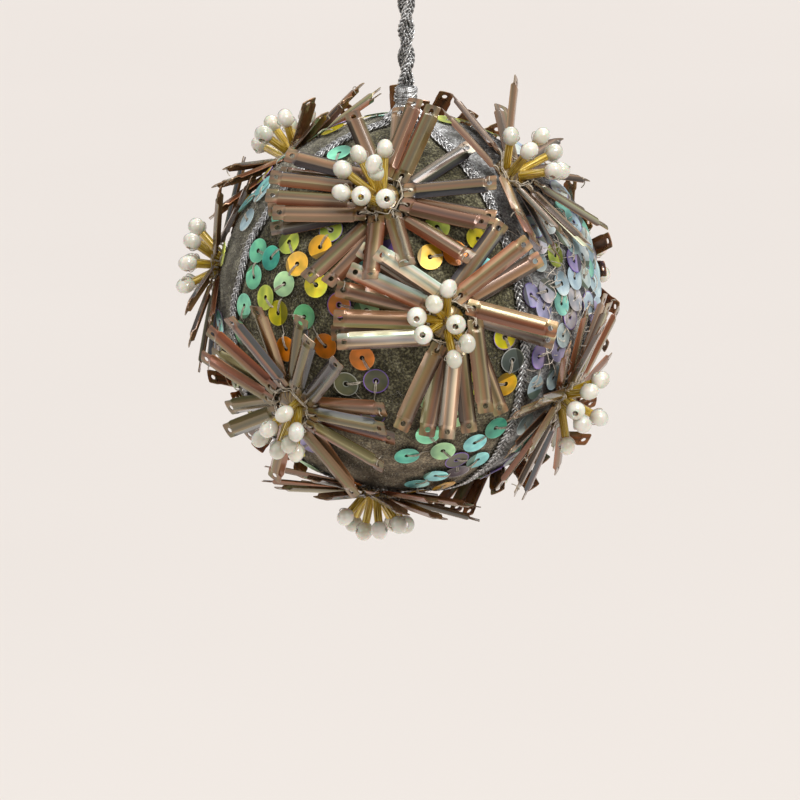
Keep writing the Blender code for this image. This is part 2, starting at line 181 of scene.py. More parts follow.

# Colours that a round sequin's film throws back, in linear light, painted on as each disc's colour:
# a painted reflection of the film's iridescence
FILM = {
    "mint": (0.24, 0.72, 0.46),
    "pale": (0.42, 0.68, 0.36),
    "lime": (0.58, 0.66, 0.10),
    "yellow": (0.80, 0.68, 0.02),
    "gold": (0.74, 0.40, 0.01),
    "orange": (0.62, 0.18, 0.004),
    "green": (0.08, 0.32, 0.12),
    "teal": (0.10, 0.46, 0.34),
    "sky": (0.27, 0.72, 0.70),
    "clear": (0.085, 0.085, 0.042),
    "lilac": (0.40, 0.36, 0.56),
    "violet": (0.16, 0.08, 0.36),
    "ice": (0.52, 0.68, 0.73),
    "frost": (0.62, 0.72, 0.70),
    "pearly": (0.62, 0.60, 0.64),
    "aqua": (0.30, 0.66, 0.54),
}

# Round sequins that the photograph shows, by the pixel of their hole and their colour there
SEEN_SEQUINS = (
    (259, 242, "mint"), (252, 264, "mint"), (271, 258, "teal"), (289, 242, "lime"),
    (297, 264, "gold"), (284, 284, "pale"), (259, 293, "lime"), (316, 285, "yellow"),
    (278, 313, "yellow"), (304, 317, "green"), (320, 247, "gold"), (240, 300, "mint"),
    (220, 322, "sky"), (236, 332, "green"), (286, 349, "orange"), (339, 305, "orange"),
    (325, 346, "orange"), (362, 358, "orange"), (346, 384, "clear"), (376, 381, "clear"),
    (373, 414, "clear"), (428, 434, "mint"), (443, 451, "pale"), (457, 460, "clear"),
    (475, 443, "sky"), (483, 459, "sky"), (407, 456, "teal"), (436, 476, "sky"),
    (456, 473, "clear"), (417, 484, "sky"), (496, 428, "teal"), (505, 337, "yellow"),
    (514, 357, "clear"), (508, 376, "gold"), (513, 392, "mint"), (430, 257, "gold"),
    (455, 253, "orange"), (478, 239, "yellow"), (437, 227, "lime"), (391, 239, "violet"),
    (339, 153, "mint"), (281, 214, "mint"), (555, 255, "lime"), (331, 225, "lime"),
    (263, 186, "sky"), (256, 197, "ice"), (250, 208, "sky"), (247, 220, "ice"), (243, 322, "green"),
)


def body_frame(flower):
    """From a flower's own space to the row's."""
    axis = towards(flower.latitude, flower.longitude)
    lon = math.radians(flower.longitude)
    east = Vector((math.cos(lon), math.sin(lon), 0))
    turn = Matrix((east, axis.cross(east), axis)).transposed().to_4x4()
    return Matrix.Translation(BALL_CENTRE + axis * (BALL_RADIUS + GAP)) @ turn


def towards(latitude, longitude):
    lat = math.radians(latitude)
    lon = math.radians(longitude)
    return Vector((math.cos(lat) * math.sin(lon), -math.cos(lat) * math.cos(lon), math.sin(lat)))


def polar(clock, radius, height):
    angle = math.radians(clock)
    return Vector((radius * math.sin(angle), radius * math.cos(angle), height))


def smooth_step(value, low, high):
    part = np.clip((value - low) / (high - low), 0, 1)
    return part * part * (3 - 2 * part)


# Camera, light and floor

CAMERA_TILT = math.radians(CAMERA_ELEVATION)
CAMERA_WAY = Vector((0, -math.cos(CAMERA_TILT), math.sin(CAMERA_TILT)))
CAMERA_UP = Vector((0, math.sin(CAMERA_TILT), math.cos(CAMERA_TILT)))
CAMERA_EYE = BALL_CENTRE + CAMERA_WAY * CAMERA_DISTANCE


def make_camera():
    data = bpy.data.cameras.new("camera")
    data.sensor_width = SENSOR_MM
    data.lens = FOCAL_PIXELS * SENSOR_MM / PHOTO_SIZE
    data.clip_start = 0.01
    made = bpy.data.objects.new("camera", data)
    bpy.context.scene.collection.objects.link(made)
    per_pixel = CAMERA_DISTANCE / FOCAL_PIXELS
    across = (BALL_CENTRE_PIXEL[0] - PHOTO_SIZE / 2) * per_pixel
    down = (PHOTO_SIZE / 2 - BALL_CENTRE_PIXEL[1]) * per_pixel
    aim = BALL_CENTRE - Vector((across, 0, 0)) - CAMERA_UP * down
    made.location = CAMERA_EYE
    made.rotation_euler = (aim - CAMERA_EYE).to_track_quat("-Z", "Y").to_euler()
    bpy.context.scene.camera = made


def photo_ray(x, y):
    """The way from the camera through a pixel of the photograph, near enough for the middle of it."""
    right = (x - BALL_CENTRE_PIXEL[0]) / FOCAL_PIXELS
    up = (BALL_CENTRE_PIXEL[1] - y) / FOCAL_PIXELS
    return (Vector((right, 0, 0)) + CAMERA_UP * up - CAMERA_WAY).normalized()


def photo_on_ball(x, y, radius):
    """Where the ray through a pixel first meets a sphere round the ball's centre, as a unit vector."""
    way = photo_ray(x, y)
    start = CAMERA_EYE - BALL_CENTRE
    half = start.dot(way)
    inside = half * half - start.length_squared + radius * radius
    if inside < 0:
        return None
    return (start + way * (-half - math.sqrt(inside))).normalized()


# Area lights: name, place, size, power and colour
AREA_LIGHTS = (
    ("key", (0.42, -0.66, 0.66), (0.50, 0.42), 7.5, (1.0, 0.985, 0.95)),
    ("side", (-0.95, -0.45, 0.25), (0.25, 0.6), 1.2, (1.0, 0.98, 0.96)),
    ("back", (0.1, 0.9, 0.75), (0.6, 0.3), 2.5, (1.0, 1.0, 1.0)),
)
SUN_STRENGTH = 1.0
SUN_ANGLE = 25
SUN_WAY = (0.25, 0.0, 1.0)

# The plain pale background that shows above the floor, and the strength of the sky's light
BACKDROP = (0.871, 0.807, 0.761)
SKY_STRENGTH = 0.80
FLOOR_HALF_SIZE = 8
FLOOR_HEIGHT = -0.75


def area_light(name, place, size, power, colour):
    data = bpy.data.lights.new(name, "AREA")
    data.shape = "RECTANGLE"
    data.size = size[0]
    data.size_y = size[1]
    data.energy = power
    data.color = colour
    made = bpy.data.objects.new(name, data)
    made.location = place
    made.rotation_euler = (BALL_CENTRE - Vector(place)).to_track_quat("-Z", "Y").to_euler()
    bpy.context.scene.collection.objects.link(made)


def make_lights():
    bpy.context.scene.view_settings.view_transform = "Standard"
    for light in AREA_LIGHTS:
        area_light(*light)
    sun = bpy.data.lights.new("sun", "SUN")
    sun.energy = SUN_STRENGTH
    sun.angle = math.radians(SUN_ANGLE)
    high = bpy.data.objects.new("sun", sun)
    high.rotation_euler = Vector(SUN_WAY).to_track_quat("Z", "Y").to_euler()
    bpy.context.scene.collection.objects.link(high)


def make_sky():
    """A studio sky that is dark below and bright above, behind it the plain pale background."""
    world = bpy.data.worlds.new("studio")
    world.use_nodes = True
    tree = world.node_tree
    up = parts_of(tree, node(tree, "ShaderNodeTexCoord").outputs["Generated"])[2]
    height = math_node(tree, "ADD", math_node(tree, "MULTIPLY", up, 0.5), 0.5)
    sky = ramp(tree, height, (
        (0.0, grey(0.10)), (0.50, grey(0.10)), (0.64, (0.25, 0.25, 0.26)),
        (0.80, grey(0.90)), (1.0, grey(1.0))))
    seen = node(tree, "ShaderNodeLightPath").outputs["Is Camera Ray"]
    backdrop = tuple(value / SKY_STRENGTH for value in BACKDROP)
    tree.links.new(mixed(tree, seen, sky, backdrop), tree.nodes["Background"].inputs["Color"])
    tree.nodes["Background"].inputs["Strength"].default_value = SKY_STRENGTH
    bpy.context.scene.world = world


def make_floor():
    mesh = bpy.data.meshes.new("floor")
    half = FLOOR_HALF_SIZE
    places = ((-half, -half), (half, -half), (half, half), (-half, half))
    corners = [(x, y, FLOOR_HEIGHT) for x, y in places]
    mesh.from_pydata(corners, [], [(0, 1, 2, 3)])
    floor = bpy.data.objects.new("floor", mesh)
    bpy.context.scene.collection.objects.link(floor)
    mesh.materials.append(plain_floor())


# Meshes of many small things

class Heap:
    """Vertices and faces of many small things that become one mesh."""

    def __init__(self):
        self.verts = []
        self.faces = []
        self.coords = []
        self.tones = []
        self.count = 0

    def add(self, verts, faces, coords=None, tone=(1, 1, 1)):
        verts = np.asarray(verts, float).reshape(-1, 3)
        start = self.count
        self.verts.append(verts)
        self.faces.extend([tuple(start + corner for corner in face) for face in faces])
        self.coords.append(np.zeros((len(verts), 2)) if coords is None else np.asarray(coords, float))
        tones = np.asarray(tone, float)
        self.tones.append(np.broadcast_to(tones, (len(verts), 3)) if tones.ndim == 1 else tones)
        self.count += len(verts)

    def add_thread(self, points, radius, shade, sides=4):
        """A round thread in one grey shade along a route."""
        self.add(*sweep(points, radius, sides), tone=grey(shade))

    def build(self, name, material, sharp=40):
        mesh = bpy.data.meshes.new(name)
        mesh.from_pydata(np.concatenate(self.verts).tolist(), [], self.faces)
        corner_verts = np.zeros(len(mesh.loops), np.int32)
        mesh.loops.foreach_get("vertex_index", corner_verts)
        coords = np.concatenate(self.coords)[corner_verts]
        mesh.uv_layers.new(name="UVMap").data.foreach_set("uv", coords.ravel())
        tones = np.concatenate(self.tones)
        tones = np.concatenate([tones, np.ones((len(tones), 1))], axis=1)
        attribute = mesh.color_attributes.new("tone", "FLOAT_COLOR", "POINT")
        attribute.data.foreach_set("color", tones.astype(np.float32).ravel())
        mesh.shade_smooth()
        if sharp:
            mesh.set_sharp_from_angle(angle=math.radians(sharp))
        mesh.materials.append(material)
        made = bpy.data.objects.new(name, mesh)
        bpy.context.scene.collection.objects.link(made)
        return made


def strip_faces(rings, sides, closed=True):
    """Quads between rings of points that follow each other."""
    faces = []
    for ring in range(rings - 1):
        for side in range(sides if closed else sides - 1):
            after = (side + 1) % sides
            low = ring * sides
            high = low + sides
            faces.append((low + side, low + after, high + after, high + side))
    return faces


def lengths_along(route):
    """How far each point of a route is along it."""
    return np.concatenate([[0], np.cumsum(np.linalg.norm(np.diff(route, axis=0), axis=1))])


def wrap_coords(lengths, sides):
    """Coordinates over a tube's rings: millimetres along it and the share of the way round it."""
    round_it = np.tile(np.arange(sides) / sides, len(lengths))
    return np.stack([np.repeat(lengths / MM, sides), round_it], axis=1)


def sweep(points, radius, sides=5):
    """A tube along a route, with capped ends."""
    points = np.asarray(points, float)
    along = np.gradient(points, axis=0)
    along /= np.linalg.norm(along, axis=1, keepdims=True)
    across = np.cross(along[0], (0.31, 0.62, 0.72))
    angles = 2 * math.pi * np.arange(sides) / sides
    rings = []
    for point, way in zip(points, along):
        across = across - way * across.dot(way)
        across /= np.linalg.norm(across)
        third = np.cross(way, across)
        ring = np.outer(np.cos(angles), across) + np.outer(np.sin(angles), third)
        rings.append(point + ring * radius)
    faces = strip_faces(len(points), sides)
    last = (len(points) - 1) * sides
    faces.append(tuple(reversed(range(sides))))
    faces.append(tuple(range(last, last + sides)))
    return np.concatenate(rings), faces, wrap_coords(lengths_along(points), sides)


def even_route(points, step):
    """The same route with points a step apart, smoothed through its own points."""
    points = np.asarray(points, float)
    lengths = lengths_along(points)
    count = max(int(lengths[-1] / step), 2)
    wanted = np.linspace(0, lengths[-1], count)
    even = np.stack([np.interp(wanted, lengths, points[:, axis]) for axis in range(3)], axis=1)
    for _ in range(3):
        even[1:-1] = (even[:-2] + 2 * even[1:-1] + even[2:]) / 4
    return even


# Materials

def shader_material(name, **inputs):
    material = bpy.data.materials.new(name)
    material.use_nodes = True
    shader = material.node_tree.nodes["Principled BSDF"]
    for key, value in inputs.items():
        shader.inputs[key.replace("_", " ")].default_value = value
    return material, material.node_tree, shader


def node(tree, kind, **settings):
    made = tree.nodes.new(kind)
    for key, value in settings.items():
        setattr(made, key, value)
    return made


def noise(tree, scale, detail, coords=None):
    """Noise over the object's own space, or over given coordinates."""
    made = node(tree, "ShaderNodeTexNoise")
    made.inputs["Scale"].default_value = scale
    made.inputs["Detail"].default_value = detail
    source = coords or node(tree, "ShaderNodeTexCoord").outputs["Object"]
    tree.links.new(source, made.inputs["Vector"])
    return made.outputs["Fac"]


def ramp(tree, value, stops):
    made = node(tree, "ShaderNodeValToRGB")
    elements = made.color_ramp.elements
    while len(elements) < len(stops):
        elements.new(0.5)
    for element, (position, colour) in zip(elements, stops):
        element.position = position
        element.color = (*colour, 1)
    tree.links.new(value, made.inputs["Fac"])
    return made.outputs["Color"]


def mixed(tree, factor, first, second, blend="MIX"):
    """Mix of two colours; each is a socket or a colour, and the factor a socket or a number."""
    made = node(tree, "ShaderNodeMix", data_type="RGBA", blend_type=blend)
    for socket, value in ((made.inputs[0], factor), (made.inputs[6], first), (made.inputs[7], second)):
        if isinstance(value, (int, float)):
            socket.default_value = value
        elif isinstance(value, tuple):
            socket.default_value = (*value, 1)
        else:
            tree.links.new(value, socket)
    return made.outputs[2]


def math_node(tree, operation, first, second=0.0):
    made = node(tree, "ShaderNodeMath", operation=operation)
    for socket, value in zip(made.inputs, (first, second)):
        if isinstance(value, (int, float)):
            socket.default_value = value
        else:
            tree.links.new(value, socket)
    return made.outputs[0]


def times(tree, first, second):
    """Product of two colours."""
    return mixed(tree, 1.0, first, second, "MULTIPLY")


def paint(tree, shader, colour):
    tree.links.new(colour, shader.inputs["Base Color"])


def grey(value):
    return value, value, value


def parts_of(tree, vector):
    """The three parts of a vector or a colour."""
    split = node(tree, "ShaderNodeSeparateXYZ")
    tree.links.new(vector, split.inputs[0])
    return split.outputs


def bump(tree, shader, height, strength, distance):
    made = node(tree, "ShaderNodeBump")
    made.inputs["Strength"].default_value = strength
    made.inputs["Distance"].default_value = distance
    tree.links.new(height, made.inputs["Height"])
    tree.links.new(made.outputs["Normal"], shader.inputs["Normal"])


def tone_of(tree):
    return node(tree, "ShaderNodeAttribute", attribute_name="tone").outputs["Color"]


def uv_parts(tree):
    parts = parts_of(tree, node(tree, "ShaderNodeTexCoord").outputs["UV"])
    return parts[0], parts[1]


def plain_floor():
    material, tree, shader = shader_material("floor", Roughness=0.9)
    shade = ramp(tree, noise(tree, 3, 2), ((0.3, (0.875, 0.818, 0.772)), (0.7, (0.885, 0.828, 0.782))))
    place = parts_of(tree, node(tree, "ShaderNodeTexCoord").outputs["Object"])
    away = math_node(tree, "ADD", math_node(tree, "MULTIPLY", place[1], 0.15), 0.4)
    evened = ramp(tree, away, ((0.57, (0.920, 0.915, 0.910)), (0.72, (1.003, 0.995, 0.990)),
                               (0.90, (1.038, 1.028, 1.022))))
    paint(tree, shader, times(tree, shade, evened))
    return material


def velvet_material():
    """Olive-taupe pile speckled by the tips of its fibres.

    The tone's first channel says how much of the painted silver sheen the nap gets, and its second how
    fleecy.
    """
    material, tree, shader = shader_material(
        "velvet", Roughness=0.85, Sheen_Weight=0.35, Sheen_Roughness=0.45,
        Sheen_Tint=(0.78, 0.72, 0.60, 1), Specular_IOR_Level=0.2)
    crush = noise(tree, 240, 4)
    broad = ramp(tree, crush, (
        (0.34, (0.036, 0.031, 0.016)), (0.50, (0.080, 0.071, 0.041)), (0.66, (0.165, 0.150, 0.095))))
    fine = noise(tree, 2300, 2)
    fibres = ramp(tree, fine, (
        (0.38, grey(0.50)), (0.50, grey(1.0)), (0.60, (1.9, 1.95, 1.85)), (0.70, (3.0, 3.1, 3.0))))
    olive = times(tree, broad, fibres)
    # The gores' silver colour is painted sheen of their leaning pile
    nap = ramp(tree, crush, ((0.33, (0.09, 0.09, 0.085)), (0.47, (0.27, 0.27, 0.265)), (0.66, grey(0.62))))
    tips = ramp(tree, fine, ((0.38, (0.55, 0.53, 0.56)), (0.52, grey(1.0)), (0.66, (1.55, 1.60, 1.60))))
    silver = times(tree, nap, tips)
    # Lighter, fleecier pile low on the ball
    fleece_colour = ramp(tree, crush, ((0.35, (0.105, 0.080, 0.050)), (0.65, (0.29, 0.235, 0.160))))
    fleece = times(tree, fleece_colour, tips)
    silver_sheen, fleecy, _ = parts_of(tree, tone_of(tree))
    ground = mixed(tree, fleecy, olive, fleece)
    paint(tree, shader, mixed(tree, silver_sheen, ground, silver))
    bump(tree, shader, noise(tree, 2200, 2), 0.6, 0.0004)
    return material


def pile_material():
    material, tree, shader = shader_material(
        "pile", Roughness=0.6, Sheen_Weight=0.3, Specular_IOR_Level=0.4)
    paint(tree, shader, tone_of(tree))
    return material


def petal_material():
    """Satin brown plastic film with fine lengthwise streaks, a little pearly."""
    material, tree, shader = shader_material(
        "bar_sequin", Roughness=0.22, Metallic=0.35, Coat_Weight=0.6, Coat_Roughness=0.07)
    across = uv_parts(tree)[1]
    wander = math_node(tree, "MULTIPLY", math_node(tree, "SUBTRACT", noise(tree, 90, 1), 0.5), 0.10)
    streaks = ramp(tree, math_node(tree, "ADD", across, wander), (
        (0.00, grey(0.72)), (0.12, (1.12, 1.02, 0.98)), (0.22, (1.32, 1.36, 1.25)),
        (0.32, (0.86, 1.00, 0.82)), (0.42, (1.12, 0.86, 0.80)), (0.52, (0.66, 0.68, 0.76)),
        (0.62, (1.15, 1.08, 1.00)), (0.72, (1.30, 1.02, 0.92)), (0.84, (0.80, 0.86, 0.78)),
        (0.93, (1.20, 1.18, 1.10)), (1.00, (0.72, 0.68, 0.68))))
    paint(tree, shader, times(tree, streaks, tone_of(tree)))
    rough = node(tree, "ShaderNodeMapRange")
    rough.inputs["To Min"].default_value = 0.18
    rough.inputs["To Max"].default_value = 0.30
    tree.links.new(noise(tree, 700, 1), rough.inputs["Value"])
    tree.links.new(rough.outputs["Result"], shader.inputs["Roughness"])
    return material


def sequin_material():
    """Bright glossy film, wrinkled a little, with streaky painted highlights, and painted darker in one
    sector of some discs, where the film throws back no light and looks see-through.
    """
    material, tree, shader = shader_material(
        "round_sequin", Roughness=0.33, Metallic=0.3, Coat_Weight=0.2, Coat_Roughness=0.10)
    split = uv_parts(tree)[1]
    # Painted darker sector, where the film throws back no light and looks clear
    clear = ramp(tree, split, ((0.0, (0.20, 0.21, 0.16)), (0.49, (0.30, 0.32, 0.24)), (0.50, grey(1))))
    colour = times(tree, tone_of(tree), clear)
    # Streaky painted highlights over the film
    highlight_wisps = ramp(tree, noise(tree, 420, 1), (
        (0.3, (0.66, 0.74, 0.78)), (0.52, grey(1.0)), (0.72, (1.35, 1.28, 1.20))))
    paint(tree, shader, times(tree, colour, highlight_wisps))
    bump(tree, shader, noise(tree, 300, 1), 0.12, 0.0004)
    return material


def gold_material():
    """Silver-lined gold glass: dark and bright streaks along the bugle under a clear gloss, the amber
    ones the glass's colour and the brightest a painted highlight.
    """
    material, tree, shader = shader_material(
        "gold_bugle", Roughness=0.25, Metallic=0.3, Coat_Weight=1.0, Coat_Roughness=0.04)
    along, around = uv_parts(tree)
    join = node(tree, "ShaderNodeCombineXYZ")
    tree.links.new(math_node(tree, "MULTIPLY", along, 0.12), join.inputs[0])
    tree.links.new(math_node(tree, "MULTIPLY", around, 24.0), join.inputs[1])
    streak = noise(tree, 1.6, 3, coords=join.outputs[0])
    # Amber streaks of the glass, with a painted highlight in the brightest
    colour = ramp(tree, streak, (
        (0.34, (0.10, 0.050, 0.003)), (0.45, (0.42, 0.25, 0.010)), (0.56, (0.68, 0.48, 0.040)),
        (0.64, (1.00, 0.86, 0.36))))
    paint(tree, shader, times(tree, colour, tone_of(tree)))
    return material


def pearl_material():
    material, tree, shader = shader_material(
        "pearl_bead", Roughness=0.15, Coat_Weight=1.0, Coat_Roughness=0.03, Subsurface_Weight=0.35,
        Subsurface_Scale=0.0015)
    cloud = ramp(tree, noise(tree, 330, 2), ((0.35, (0.62, 0.61, 0.50)), (0.65, (0.85, 0.83, 0.76))))
    paint(tree, shader, times(tree, cloud, tone_of(tree)))
    return material


def silver_material():
    """Metallic thread: bright foil wound along each yarn, darker and lighter in patches."""
    material, tree, shader = shader_material("silver_thread", Metallic=0.85, Roughness=0.32)
    along, around = uv_parts(tree)
    turn = math_node(tree, "ADD", math_node(tree, "MULTIPLY", along, 2.6), around)
    wave = math_node(tree, "FRACT", turn)
    foil = ramp(tree, wave, (
        (0.0, (0.25, 0.245, 0.24)), (0.25, grey(0.55)), (0.75, grey(0.85)), (1.0, (0.30, 0.295, 0.29))))
    patchy = ramp(tree, noise(tree, 900, 2), ((0.36, (0.50, 0.48, 0.46)), (0.60, grey(1.25))))
    colour = times(tree, foil, patchy)
    paint(tree, shader, times(tree, colour, tone_of(tree)))
    bump(tree, shader, wave, 0.4, 0.0001)
    return material


def thread_material():
    material, tree, shader = shader_material("sewing_thread", Roughness=0.55, Sheen_Weight=0.2)
    fibre = ramp(tree, noise(tree, 2400, 2), ((0.35, (0.26, 0.22, 0.165)), (0.65, (0.52, 0.465, 0.38))))
    paint(tree, shader, times(tree, fibre, tone_of(tree)))
    return material


# Braid, plaited from yarns of silver thread

BRAID_INSET = 0.25 * MM
BRAID_POINTS = 420
BRAID_SWAY = 0.18 * MM
BRAID_SWAY_RATE = 0.31
BRAID_WANDER = 0.16
WANDER_POINTS = 45
# Grey shades of the three yarns of each strand: painted light and shade, the middle yarn painted dark for
# the dark gaps in the braid
YARN_PAINTED_SHADES = (1.20, 0.28, 0.75)
YARN_SPACING = 1.75
FRAY_COUNT = 90
FRAY_RADIUS = 0.06 * MM

# Half width, height, yarn radius and pitch of a plait
Plait = namedtuple("Plait", "half_width height yarn_radius pitch")
SEAM_PLAIT = Plait(0.82 * MM, 0.26 * MM, 0.18 * MM, 3.8 * MM)
CORD_PLAIT = Plait(0.48 * MM, 0.30 * MM, 0.16 * MM, 3.1 * MM)
TWIST_PLAIT = Plait(0.75 * MM, 0.22 * MM, 0.16 * MM, 3.3 * MM)


def plait(heap, route, up, form):
    """Three flat strands of three yarns each, plaited along a route. Up is the way that the braid faces."""
    along = unit(np.gradient(route, axis=0))
    side = unit(np.cross(along, up))
    out = np.cross(side, along)
    for strand in range(3):
        phase = 2 * math.pi * (lengths_along(route) / form.pitch + strand / 3)
        middle = route + side * (form.half_width * np.sin(phase))[:, None]
        middle = middle + out * (form.height * np.sin(2 * phase))[:, None]
        way = unit(np.gradient(middle, axis=0))
        across = unit(np.cross(out, way))
        for yarn, shade in enumerate(YARN_PAINTED_SHADES):
            path = middle + across * form.yarn_radius * YARN_SPACING * (yarn - 1)
            heap.add_thread(path, form.yarn_radius, shade, 5)


def unit(vectors):
    return vectors / np.linalg.norm(vectors, axis=-1, keepdims=True)


def seam_braid(number, longitude, material):
    radius = BALL_RADIUS - SEAM_DEPTH + GAP + BRAID_RADIUS - BRAID_INSET
    latitudes = np.linspace(BRAID_TOP_LATITUDE + 2, BRAID_BOTTOM_LATITUDE, BRAID_POINTS)
    centre = np.array(BALL_CENTRE)
    up = np.array([towards(latitude, longitude) for latitude in latitudes])
    rng = np.random.default_rng(40 + number)
    bends = rng.normal(0, BRAID_WANDER, WANDER_POINTS)
    wander = np.interp(latitudes, np.linspace(-90, 90, WANDER_POINTS), bends)
    sway = BRAID_SWAY * np.sin(latitudes * BRAID_SWAY_RATE + number) + wander * MM
    east = np.cross(up, np.gradient(up, axis=0))
    route = centre + up * radius + unit(east) * sway[:, None]
    heap = Heap()
    plait(heap, route, up, SEAM_PLAIT)
    frays(heap, route, up, rng)
    made = heap.build(f"braid_{number}", material, sharp=0)
    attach(made, "root")
    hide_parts(f"seam_braid_{number}")


def frays(heap, route, up, rng):
    """Short loose ends of yarn that stand out of a braid's edges."""
    along = unit(np.gradient(route, axis=0))
    side = np.cross(along, up)
    for _ in range(FRAY_COUNT):
        at = rng.integers(5, len(route) - 5)
        out = side[at] * rng.choice((-1, 1))
        way = out * rng.uniform(0.3, 1.0) + along[at] * rng.normal(0, 1)
        way = unit(way + up[at] * rng.uniform(-0.1, 0.5))
        start = route[at] + out * rng.uniform(0.3, 0.9) * MM
        reach = rng.uniform(0.6, 1.8) * MM
        points = [start, start + way * reach * 0.6, start + way * reach + up[at] * rng.normal(0, 0.2) * MM]
        heap.add_thread(points, FRAY_RADIUS, rng.uniform(0.4, 1.1), 3)


CORD_FACING = (0.0, -1.0, 0.02)
CORD_STEP = 0.3 * MM

# The yarns that fill the furrow between the cord's twisted legs
TWIST_POINTS = 150
TWIST_START = 0.2 * MM


def cord_route():
    """One leg of the cord up the twist, round the eye of the loop, and down the twist again."""
    foot = BALL_CENTRE.z + BALL_RADIUS + KNOT_HEIGHT + GAP
    turns = CORD_TWIST_HEIGHT / CORD_TWIST_PITCH
    leg = []
    for step in range(CORD_TWIST_STEPS + 1):
        part = step / CORD_TWIST_STEPS
        angle = 2 * math.pi * turns * part
        out = Vector((math.cos(angle), math.sin(angle), 0)) * CORD_LEG_OFFSET
        leg.append(out + Vector((0, 0, foot + CORD_TWIST_HEIGHT * part)))
    eye_foot = foot + CORD_TWIST_HEIGHT
    eye_top = CORD_RADIUS
    eye = []
    for step in range(1, CORD_EYE_STEPS):
        turn = math.pi * step / CORD_EYE_STEPS
        narrow = CORD_LEG_OFFSET * math.cos(turn)
        width = narrow + (CORD_EYE_HALF_WIDTH - CORD_LEG_OFFSET) * math.sin(turn) ** 2 * math.cos(turn) * 2
        height = eye_foot + (eye_top - eye_foot) * math.sin(turn)
        eye.append(Vector((width, 0, height)))
    other = [Vector((-point.x, -point.y, point.z)) for point in reversed(leg)]
    return leg + eye + other


def hanging_cord(material):
    points = cord_route()
    length = sum((after - before).length for before, after in zip(points, points[1:]))
    route = even_route(points, CORD_STEP)
    up = np.broadcast_to(np.array(CORD_FACING), route.shape)
    heap = Heap()
    plait(heap, route, up, CORD_PLAIT)
    steps = np.linspace(0, 1, TWIST_POINTS)
    height = points[0].z + TWIST_START + (CORD_TWIST_HEIGHT - TWIST_START) * steps
    middle = np.stack([0 * steps, 0 * steps, height], axis=1)
    angle = 2 * math.pi * CORD_TWIST_HEIGHT / CORD_TWIST_PITCH * steps
    between = np.stack([np.cos(angle), np.sin(angle), 0 * steps], axis=1)
    plait(heap, middle, between, TWIST_PLAIT)
    made = heap.build("cord", material, sharp=0)
    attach(made, "root")
    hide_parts("hanging_cord")
    tuple(points[0])
    [tuple(point) for point in points]


# The knot: its core, the thread wrapped round it, the threads crossing that, and the braids' spread ends
KNOT_CORE_RADIUS = 1.75 * MM
KNOT_WRAP_RADIUS = 1.95 * MM
KNOT_WRAP_FOOT = 3.9 * MM
KNOT_WRAP_HEIGHT = 3.2 * MM
KNOT_WRAP_TURNS = 11
KNOT_WRAP_THREAD = 0.24 * MM
KNOT_CROSS_RADIUS = 2.15 * MM
KNOT_CROSS_THREAD = 0.17 * MM
KNOT_CROSS_ANGLES = (0.5, 2.3, 4.1)
KNOT_STRANDS = 64


def round_pole(radius, angle, height):
    """Points round the ball's upper pole, at heights over it."""
    return BALL_POLE + np.stack([radius * np.cos(angle), radius * np.sin(angle), height], axis=1)


def top_knot(material):
    """Thread wrapping round the cord's ends, over the gathered ends of the braids."""
    rng = np.random.default_rng(4)
    heap = Heap()
    steps = np.linspace(0, 1, KNOT_WRAP_TURNS * 20)
    radius = KNOT_WRAP_RADIUS + 0.12 * MM * np.sin(steps * 41) - 0.5 * MM * smooth_step(steps, 0.9, 1)
    angle = 2 * math.pi * KNOT_WRAP_TURNS * steps
    wrap = round_pole(radius, angle, KNOT_WRAP_FOOT + KNOT_WRAP_HEIGHT * steps)
    heap.add_thread(wrap, KNOT_WRAP_THREAD, 1, 6)
    steps = np.linspace(0, 1, 24)
    for start in KNOT_CROSS_ANGLES:
        cross = round_pole(KNOT_CROSS_RADIUS, start + 2.6 * steps, (4.1 + 2.7 * steps) * MM)
        heap.add_thread(cross, KNOT_CROSS_THREAD, 1, 5)
    core = round_pole(0, np.zeros(12), np.linspace(0.3, 6.9, 12) * MM)
    heap.add_thread(core, KNOT_CORE_RADIUS, 0.6, 12)
    steps = np.linspace(0, 1, 9)
    for strand in range(KNOT_STRANDS):
        start = 2 * math.pi * strand / KNOT_STRANDS + rng.normal(0, 0.05)
        reach = (3.9 + rng.uniform(0, 0.9)) * MM
        out = KNOT_CORE_RADIUS + (reach - KNOT_CORE_RADIUS) * steps ** 1.3
        drop = 4.2 * MM - 3.5 * MM * steps ** 0.8 - rng.uniform(0, 0.3) * MM * steps
        points = round_pole(out, start + 0.35 * steps * rng.choice((-1, 1)), drop)
        heap.add_thread(points, rng.uniform(0.16, 0.3) * MM, 1, 5)
    turn = np.linspace(0, 12, 50)
    knob = [-2.0 - 0.35 * np.cos(turn), -0.5 + 0.45 * np.sin(turn), np.linspace(4.3, 5.8, 50)]
    heap.add_thread(BALL_POLE + np.stack(knob, axis=1) * MM, 0.2 * MM, 1, 5)
    made = heap.build("knot", material, sharp=0)
    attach(made, "root")
    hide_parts("top_knot")


# Petals

Petal = namedtuple("Petal", "clock root along across above")

# How far petals are turned about their length towards being seen edge-on from the front, by flower:
# first and last clock angle, and share of the whole turn
EDGE_ON = {
    "right_top": ((0, 48.5, 0.75), (60, 360, 0.6)),
    "right_bottom": ((0, 360, 0.45),),
    "left_middle": ((0, 360, 0.5),),
    "left_top": ((0, 26, 0.65), (30, 360, 0.65)),
}

